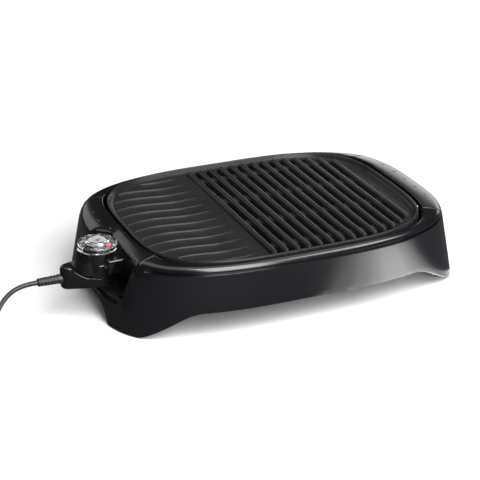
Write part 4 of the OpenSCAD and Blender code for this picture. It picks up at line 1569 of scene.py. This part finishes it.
@dataclass
class Control:
    """The plug-in temperature control with its clear knob.

    Attributes:
        x: Middle of the turret along X.
        y: Middle of the control along Y.
        turret: Radius of the turret.
        turret_top: Height of its top.
        turret_back: How far its leaning back half stands behind the middle.
        rim: How far the housing stands out round the turret.
        tail: Radius of the tail.
        tail_x: Distance from the turret's middle to the tail's.
        scoop: Radius of the thumb hollow.
        scoop_turn: Turn of the hollow about the upright and then its tilt, in degrees.
        scoop_foot: A point on the hollow's axis, from the turret's middle, and its height.
        knob: Radius of the knob.
        lobes: How many lobes the knob has.
        lobe_steps: Points round the knob.
    """

    x: float = -222.0
    y: float = -37.0
    turret: float = 18.5
    turret_top: float = 84.8
    turret_back: float = 12.0
    rim: float = 0.9
    tail: float = 9.0
    tail_x: float = 36.0
    scoop: float = 15.5
    scoop_turn: Flat = (28.4, -62.2)
    scoop_foot: Point = (-19.0, -13.0, 73.5)
    knob: float = 23.25
    lobes: int = 8
    lobe_steps: int = 192

    def drop(self, inset: float, z: float, steps: int = 96) -> list[Point]:
        """Drop-shaped outline of the housing.

        Args:
            inset: How far inside the full outline.
            z: Height.
            steps: Number of points.

        Returns:
            The points.
        """
        r, q = self.turret + self.rim - inset, self.tail - inset
        lean = math.asin((r - q) / self.tail_x)
        ring = []
        for i in range(steps):
            a = 2 * math.pi * (i + 0.5) / steps
            tail = abs(a - math.pi) < math.pi / 2 - lean
            cx, radius = (-self.tail_x, q) if tail else (0.0, r)
            ring.append((self.x + cx + radius * math.cos(a), self.y + radius * math.sin(a), z))
        return ring

    def upper(self) -> bpy.types.Object:
        """The upper shell with its thumb hollow, turret and nose.

        Returns:
            The object.
        """
        levels = [
            (0.45, 54.0), (0.4, 54.35), (0.0, 54.6), (0.0, 64.6), (0.12, 65.8), (0.5, 66.9), (1.15, 67.9),
            (2.0, 68.55), (3.1, 68.9), (4.6, 69.0),
        ]
        body = Draft().loft([self.drop(inset, z, 144) for inset, z in levels], False)
        body = body.build("control_top", 40.0)
        r = self.scoop
        scoop = Draft().turned([(0, -30), (r, -30), (r, 50), (0, 50)], (0, 0, 0), steps=144)
        about, tilt = (math.radians(angle) for angle in self.scoop_turn)
        turn = Matrix.Rotation(about, 3, "Z") @ Matrix.Rotation(tilt, 3, "X")
        foot = Vector((self.x, self.y, 0.0)) + Vector(self.scoop_foot)
        scoop.points = [tuple(turn @ Vector(p) + foot) for p in scoop.points]
        carve(body, [scoop.build("cut_scoop")], 40.0)
        soften(body, 0.6, 3)
        edge = self.scoop_edge(turn @ Vector((0, 0, 1)), foot).build("scoop_edge", 60.0)
        r, top = self.turret, self.turret_top
        profile = [
            (0, 54.4), (r, 54.4), (r, 67.0), (r + 0.6, 68.2), (r + 0.65, 68.9), (r + 0.3, 69.7),
            (r, 70.3), (r, 74.3), (r, top - 1.1), (r - 0.3, top - 0.4), (r - 1.0, top - 0.05),
            (0, top - 0.05),
        ]
        turret = Draft().turned(profile, (self.x, self.y, 0), steps=128)
        lean = [
            (0, 58), (15.8, 58), (15.2, 62.5), (12.75, top - 1.1), (12.4, top - 0.4), (11.8, top - 0.05),
            (0, top - 0.05),
        ]
        turret.turned(lean, (self.x - self.turret_back, self.y, 0), steps=128)
        low, high = (self.x + 6, self.y - 20, 57.6), (self.x + 41.5, self.y + 20, 74.4)
        nose = Draft().box(low, high).build("nose")
        soften(nose, 1.6)
        return join([body, edge, turret.build("turret", 40.0), nose])

    def scoop_edge(self, along: Vector, foot: Vector) -> Draft:
        """Rounded edge of the thumb hollow on the side that faces the user.

        Args:
            along: Direction of the round cutter that makes the hollow.
            foot: A point on the cutter's axis.

        Returns:
            The draft of the edge.
        """
        radius, sunk = 0.75, 0.2
        ring = [Vector(p) for p in self.drop(radius, 54.6, 96)]
        rim = []
        for start, end in zip(ring, ring[1:] + ring[:1]):
            parts = max(1, int((end - start).length))
            for k in range(parts):
                spot = start.lerp(end, k / parts)
                for _ in range(144):
                    away = spot - foot
                    if (away - along * away.dot(along)).length < self.scoop:
                        break
                    spot = spot + Vector((0.0, 0.0, 0.1))
                beside = math.hypot(spot.x - self.x, spot.y - self.y) > self.turret + 0.8
                if spot.z < 68.6 and beside and spot.y < self.y:
                    rim.append((spot.x, spot.y, spot.z - sunk))
        return Draft().tube(rim, [radius] * len(rim), 12)

    def lower(self) -> bpy.types.Object:
        """The lower shell.

        Returns:
            The object.
        """
        levels = [
            (4.6, 41.65), (3.0, 41.8), (1.6, 42.5), (0.7, 43.6), (0.2, 45.0), (0.0, 46.8), (0.0, 53.4),
            (0.4, 53.65), (0.45, 53.95),
        ]
        shell = Draft().loft([self.drop(inset, z) for inset, z in levels], False)
        return shell.build("control_bottom", 40.0)

    def knob_ring(self, radius: float, z: float, depth: float) -> list[Point]:
        """Lobed outline of the knob.

        Args:
            radius: Distance to the top of a lobe.
            z: Height.
            depth: How far the waist between two lobes goes in.

        Returns:
            The points.
        """
        ring = []
        for a in turns_of(self.lobe_steps):
            u, v = polar(radius - depth * (1 - abs(math.cos(self.lobes * a / 2)) ** 0.8), a)
            ring.append((self.x + u, self.y + v, z))
        return ring

    def clear_knob(self) -> bpy.types.Object:
        """The clear knob: a hollow lobed skirt with a domed middle.

        Returns:
            The object.
        """
        k = self.knob
        skirt = [
            (k - 4.2, 89.9, 0.3), (k - 3.6, 89.2, 0.5), (k - 3.4, 85.6, 0.8), (k - 0.5, 85.45, 1.5),
            (k - 0.05, 85.8, 1.8), (k, 86.4, 1.8), (k, 90.6, 1.8), (k - 0.35, 91.6, 1.6),
            (k - 1.2, 92.3, 1.2), (k - 2.6, 92.6, 0.8), (14.2, 92.75, 0.1),
        ]
        dome = [
            (13.7, 93.1), (13.4, 94.0), (12.7, 94.8), (11.2, 95.3), (8.0, 95.52), (3.0, 95.58),
        ]
        levels = [(10.0, 93.0, 0.0), (10.0, 90.1, 0.0)] + skirt + [(r, z, 0.0) for r, z in dome]
        rings = [self.knob_ring(r, z, depth) for r, z, depth in levels]
        return Draft().loft(rings, False).build("knob_clear", 28.0)

    def core(self) -> bpy.types.Object:
        """The grey disc under the clear knob.

        Returns:
            The object.
        """
        bore, low, high = 3.02, 85.6, 92.3
        profile = [
            (bore, low), (5.4, low), (5.4, 90.8), (9.4, 90.8), (9.7, 91.1), (9.7, high), (9.2, 92.7),
            (3.4, 92.7), (bore, high), (bore, low),
        ]
        return Draft().turned(profile, (self.x, self.y, 0.0)).build("knob_core")

    def make(self, kit: Kit) -> None:
        """Builds the control and the knob, and dresses what is inside.

        Args:
            kit: Where finished pieces are handed in.
        """
        body = "temperature_control"
        kit.hand_in(self.upper(), body, CONTROL, ["control_upper_shell"])
        kit.hand_in(self.lower(), body, CONTROL, ["control_lower_shell"])
        kit.hand_in(self.clear_knob(), "knob", CLEAR_KNOB, ["temperature_knob"])
        kit.hand_in(self.core(), "knob", KNOB_CORE, ["knob_insert"])
        inner = {
            "control_screws": STEEL,
            "sensor_tube": POLISHED,
            "contact_carrier": CARRIER,
            "contact_sleeves": BRASS,
            "switch_blades": BRASS,
            "bimetal_arm": BIMETAL,
            "indicator_lamp": LAMP,
            "control_spindle": BRASS,
        }
        for node, finish in inner.items():
            kit.dress(node, finish)


# ---------- cord ----------


@dataclass
class Cord:
    """The power cord: its route to the table, the wound-up rest, the sleeve and the plug.

    Attributes:
        diameter: Thickness of the cord.
        turns: Turns of the coil.
        pitch: Distance between turns, sideways and upwards.
        radius: Radius of the outermost turn.
        centre: Middle of the coil.
        lead: Straight stretch into the plug.
        swing: How far the end moves sideways to the plug.
        tail: Length over which it does so.
        grooves: How many bending grooves the sleeve has.
        groove_pitch: Distance between them.
        route: The cord's middle line from the sleeve's foot to the coil.
    """

    diameter: float = 5.5
    turns: float = 4.25
    pitch: float = 6.1
    radius: float = 36.0
    centre: Flat = (-402.0, -62.0)
    lead: float = 6.0
    swing: float = 8.0
    tail: float = 36.0
    grooves: int = 6
    groove_pitch: float = 3.8
    route: tuple[Point, ...] = (
        (-294, -37, 54), (-300, -37, 54), (-311, -37, 53), (-322, -38, 50), (-332, -40, 44),
        (-341, -44, 36), (-348, -50, 27), (-354, -58, 18), (-359, -67, 10), (-364, -76, 5.5),
        (-370, -84, 4), (-378, -91, 4), (-387, -96, 4), (-396, -98, 4),
    )

    def refined(self) -> list[Point]:
        """The route with one more point between each two, on a smooth curve.

        Returns:
            The points.
        """
        spots = [Vector(p) for p in self.route]

        def spot(i: int) -> Vector:
            """Returns a route point, or the end one past either end."""
            return spots[min(max(i, 0), len(spots) - 1)]

        path: list[Point] = []
        for i in range(len(spots) - 1):
            path.append(tuple(spots[i]))
            path.append(tuple((9 * (spot(i) + spot(i + 1)) - spot(i - 1) - spot(i + 2)) / 16))
        path.append(tuple(spots[-1]))
        return path

    def coil_point(self, u: float) -> Point:
        """One point of the coil.

        Args:
            u: Turns from its start.

        Returns:
            The point.
        """
        r = self.radius - self.pitch * min(u, self.turns - u)
        a = math.radians(-90 - 360 * u)
        z = self.diameter / 2 + 1.25 + self.pitch * smooth((u - self.turns / 2 + 0.25) / 0.5)
        return (self.centre[0] + r * math.cos(a), self.centre[1] + r * math.sin(a), z)

    def path(self) -> list[Point]:
        """The whole cord's line, from the sleeve to the plug.

        Returns:
            The points.
        """
        line = self.refined()
        steps = round(self.turns * 24)
        line += [self.coil_point(self.turns * i / steps) for i in range(steps + 1)]
        end = line[-1]
        for k in range(1, 7):
            line.append((end[0] - self.swing * smooth(k / 6), end[1] + self.tail * k / 6, end[2]))
        line.append((end[0] - self.swing, end[1] + self.tail + self.lead, end[2]))
        return line

    def sleeve(self) -> bpy.types.Object:
        """The tapered sleeve with its bending grooves.

        Returns:
            The object.
        """
        profile: list[Flat] = [(0, 0), (4.0, 0), (4.5, 0.4)]
        for i in range(self.grooves):
            r, z = 4.75 + 0.12 * i, 1.2 + self.groove_pitch * i
            profile += [(r, z), (r, z + 1.5), (r - 0.15, z + 1.75)]
            profile += [(r - 0.7, z + 1.95), (r - 0.7, z + 2.7), (r - 0.1, z + 2.9)]
        profile += [(5.5, 24.6), (5.5, 34.0), (0, 34.0)]
        return Draft().turned(profile, self.route[0], True, 40).build("cord_sleeve", 40.0)

    def plug(self, end: Point) -> bpy.types.Object:
        """Builds the plug's body.

        Args:
            end: Where the cord enters it.

        Returns:
            The object.
        """
        rings = []
        levels = [
            (3.4, 3.4, 0.0, 1), (3.9, 3.9, 0.5, 1), (5.2, 5.2, 15.0, 1), (6.6, 6.2, 17.5, 0.9),
            (9.8, 8.2, 19.6, 0.62), (11.6, 9.3, 21.6, 0.5), (12.2, 9.7, 24.0, 0.45),
            (12.2, 9.7, 38.0, 0.45), (11.8, 9.3, 39.4, 0.45), (11.0, 8.5, 39.95, 0.45),
        ]
        for wide, high, along, power in levels:
            ring = []
            for c, s in (polar(1.0, t) for t in turns_of(64)):
                x = end[0] + wide * math.copysign(abs(c) ** power, c)
                z = end[2] + high * math.copysign(abs(s) ** power, s)
                ring.append((x, end[1] + along, z))
            rings.append(ring)
        return Draft().loft(rings, False).build("plug_moulding", 40.0)

    def make(self, kit: Kit) -> None:
        """Builds the cord, its sleeve and its plug.

        Args:
            kit: Where finished pieces are handed in.
        """
        body = "temperature_control"
        line = self.path()
        jacket = Draft().tube(line, [self.diameter / 2] * len(line), 20).build("cord_jacket", 70.0)
        kit.hand_in(jacket, body, CORD, ["power_cord", "cord_coil"])
        sleeve = kit.hand_in(self.sleeve(), body, CORD, ["strain_relief"])
        plug = kit.hand_in(self.plug(line[-1]), body, CORD, ["plug_body"])
        kit.dress("cord_tie", RUBBER)
        kit.dress("plug_blades", BRASS)


# ---------- studio ----------


@dataclass
class Studio:
    """Camera, lights, floor and surroundings.

    Attributes:
        target: What the camera looks at, in millimetres from the middle of the base.
        azimuth: Direction that it looks from, in degrees.
        elevation: How high it looks from, in degrees.
        distance: How far away it is, in millimetres.
        lens: Focal length for a 36 mm wide picture.
        roll: How far it is turned about its own axis, in degrees.
        floor_half: Half the width of the floor, in metres.
        floor_z: Height of the floor, in metres.
        cards: Shift and width of each low card at the right end, in millimetres.
        card_spot: Where the cards would be with no shift, in metres.
        card_shift: Which way a shift moves a card.
        card_turn: Turn of the cards, in degrees.
    """

    target: Point = (-28.1, 0.0, 43.7)
    azimuth: float = -23.95
    elevation: float = 24.66
    distance: float = 1866.6
    lens: float = 115.3
    roll: float = 0.388
    floor_half: float = 9.0
    floor_z: float = -0.0002
    cards: tuple[Flat, ...] = ((25.0, 212.0), (28.0, 158.0), (29.0, 108.0), (27.0, 62.0))
    card_spot: Flat = (0.198, -0.258)
    card_shift: Flat = (0.00079, 0.00061)
    card_turn: float = -52.3

    def camera(self) -> bpy.types.Object:
        """Sets the camera up as the photograph's.

        Returns:
            The camera.
        """
        a, e = math.radians(self.azimuth), math.radians(self.elevation)
        back = Vector((math.sin(a) * math.cos(e), -math.cos(a) * math.cos(e), math.sin(e)))
        data = bpy.data.cameras.new("camera")
        data.lens = self.lens
        data.sensor_width = 36.0
        data.clip_start = 0.05
        data.clip_end = 60.0
        eye = bpy.data.objects.new("camera", data)
        bpy.context.scene.collection.objects.link(eye)
        eye.location = Vector(place(self.target)) + back * self.distance * MM
        turn = (-back).to_track_quat("-Z", "Y").to_matrix()
        tilt = Matrix.Rotation(-math.radians(self.roll), 3, -back)
        eye.rotation_euler = (tilt @ turn).to_euler()
        bpy.context.scene.camera = eye
        return eye

    def softbox(
        self, name: str, spot: Point, aim: Point, size: Flat, radiance: float, turn: float = 0.0
    ) -> None:
        """Adds one area light, which lights the part and shows in its gloss only.

        Args:
            name: Its name.
            spot: Where it hangs, in metres.
            aim: What it points at, in metres.
            size: Its width and height in metres.
            radiance: How bright its face is.
            turn: How far it is turned about the upright, in degrees.
        """
        data = bpy.data.lights.new(name, "AREA")
        data.shape = "RECTANGLE"
        data.size, data.size_y = size
        data.energy = radiance * math.pi * size[0] * size[1]
        lamp = bpy.data.objects.new(name, data)
        bpy.context.scene.collection.objects.link(lamp)
        lamp.location = spot
        facing = (Vector(aim) - Vector(spot)).to_track_quat("-Z", "Y").to_matrix()
        lamp.rotation_euler = (Matrix.Rotation(math.radians(turn), 3, "Z") @ facing).to_euler()
        lamp.visible_camera = False

    def surroundings(self) -> None:
        """Sets a white backdrop for the eye and a dim room for the gloss, paler near the horizon."""
        world = bpy.data.worlds.new("studio")
        world.use_nodes = True
        world.node_tree.nodes.clear()
        w = Wiring(world.node_tree)
        room = w.node("ShaderNodeBackground", in_Strength=1.0)
        white = w.node("ShaderNodeBackground", in_Color=(1.0, 1.0, 1.0, 1.0), in_Strength=1.0)
        choice = w.node("ShaderNodeMixShader")
        result = w.node("ShaderNodeOutputWorld")
        rays = w.node("ShaderNodeLightPath")
        coord = w.node("ShaderNodeTexCoord")
        parts = w.node("ShaderNodeSeparateXYZ")
        ramp = w.node("ShaderNodeValToRGB")
        bands = ramp.color_ramp.elements
        bands[0].position, bands[0].color = 0.0, (0.05, 0.05, 0.052, 1.0)
        bands[1].position, bands[1].color = 1.0, (0.08, 0.08, 0.083, 1.0)
        middle = bands.new(0.25)
        middle.color = (0.02, 0.02, 0.021, 1.0)
        w.join(coord.outputs["Generated"], parts.inputs["Vector"])
        w.join(parts.outputs["Z"], ramp.inputs["Fac"])
        w.join(ramp.outputs["Color"], room.inputs["Color"])
        clear = w.maths("MAXIMUM", rays.outputs["Is Camera Ray"], rays.outputs["Is Transmission Ray"])
        w.join(clear, choice.inputs[0])
        w.join(room.outputs["Background"], choice.inputs[1])
        w.join(white.outputs["Background"], choice.inputs[2])
        w.join(choice.outputs["Shader"], result.inputs["Surface"])
        bpy.context.scene.world = world

    def floor(self) -> None:
        """Adds the pale floor, which the gloss of the part shows darker than the eye sees it."""
        mesh = bpy.data.meshes.new("floor")
        half = self.floor_half
        corners = [(x, y, self.floor_z) for x, y in box_outline((-half, -half), (half, half))]
        mesh.from_pydata(corners, [], [(0, 1, 2, 3)])
        ground = bpy.data.objects.new("floor", mesh)
        bpy.context.scene.collection.objects.link(ground)
        material = bpy.data.materials.new("pale_floor")
        material.use_nodes = True
        w = Wiring(material.node_tree)
        shader = material.node_tree.nodes["Principled BSDF"]
        shader.inputs["Roughness"].default_value = 0.9
        rays = w.node("ShaderNodeLightPath")
        tone = w.blend(rays.outputs["Is Glossy Ray"], (0.94, 0.94, 0.94, 1.0), (0.05, 0.05, 0.053, 1.0))
        w.join(tone, shader.inputs["Base Color"])
        spot = w.node("ShaderNodeTexCoord").outputs["Object"]
        reach = w.node("ShaderNodeVectorMath", operation="LENGTH")
        fade = w.node("ShaderNodeMapRange", in_From_Min=0.5, in_From_Max=1.3, in_To_Max=1.2)
        w.join(spot, reach.inputs[0])
        w.join(reach.outputs["Value"], fade.inputs["Value"])
        glow = w.maths("MULTIPLY", fade.outputs["Result"], rays.outputs["Is Camera Ray"])
        shader.inputs["Emission Color"].default_value = (1.0, 1.0, 1.0, 1.0)
        w.join(glow, shader.inputs["Emission Strength"])
        mesh.materials.append(material)

    def lights(self) -> None:
        """Hangs the softboxes."""
        middle = (0, 0, 0.05)
        self.softbox("front_tall", (0.05, -1.455, 1.24), middle, (1.0, 2.2), 8.4)
        self.softbox("right_high", (1.01, -1.047, 1.22), middle, (0.75, 0.9), 7.0)
        self.softbox("back_left", (-0.6, 1.9, 0.85), (-0.1, 0.1, 0.08), (1.3, 1.0), 0.95)
        self.softbox("back_right", (1.7, 1.53, 0.36), (0.1, 0.0, 0.08), (1.6, 0.7), 1.9)
        for i, (shift, width) in enumerate(self.cards):
            x, y = (start + step * shift for start, step in zip(self.card_spot, self.card_shift))
            height = 0.001 + 0.0002 * i
            size = (0.3, width * MM)
            self.softbox(f"card_{i}", (x, y, height), (x, y, 1.0), size, 1.45, self.card_turn)
        self.softbox("floor_light", (0.0, 0.0, 2.6), (0, 0, 0), (3.5, 3.5), 1.1)

    def make(self) -> None:
        """Sets up everything but the camera."""
        self.surroundings()
        self.floor()
        self.lights()
        bpy.context.scene.view_settings.view_transform = "Standard"


BASE_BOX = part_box("base_shell")
MIDDLE_X = (BASE_BOX[0].x + BASE_BOX[1].x) / 2


def main() -> None:
    """Builds every sub-assembly in order."""
    logging.basicConfig(level=logging.INFO, format="%(message)s")
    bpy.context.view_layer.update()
    studio = Studio()
    studio.camera()
    kit = Kit()
    Cord().make(kit)
    form = BaseForm()
    Base(form).make(kit)
    Covers(form).make(kit)
    Grid(form).make(kit)
    Tray().make(kit)
    Control().make(kit)
    studio.make()
    LOG.info("%d pieces made", len(kit.made))


if __name__ == "__main__":
    main()
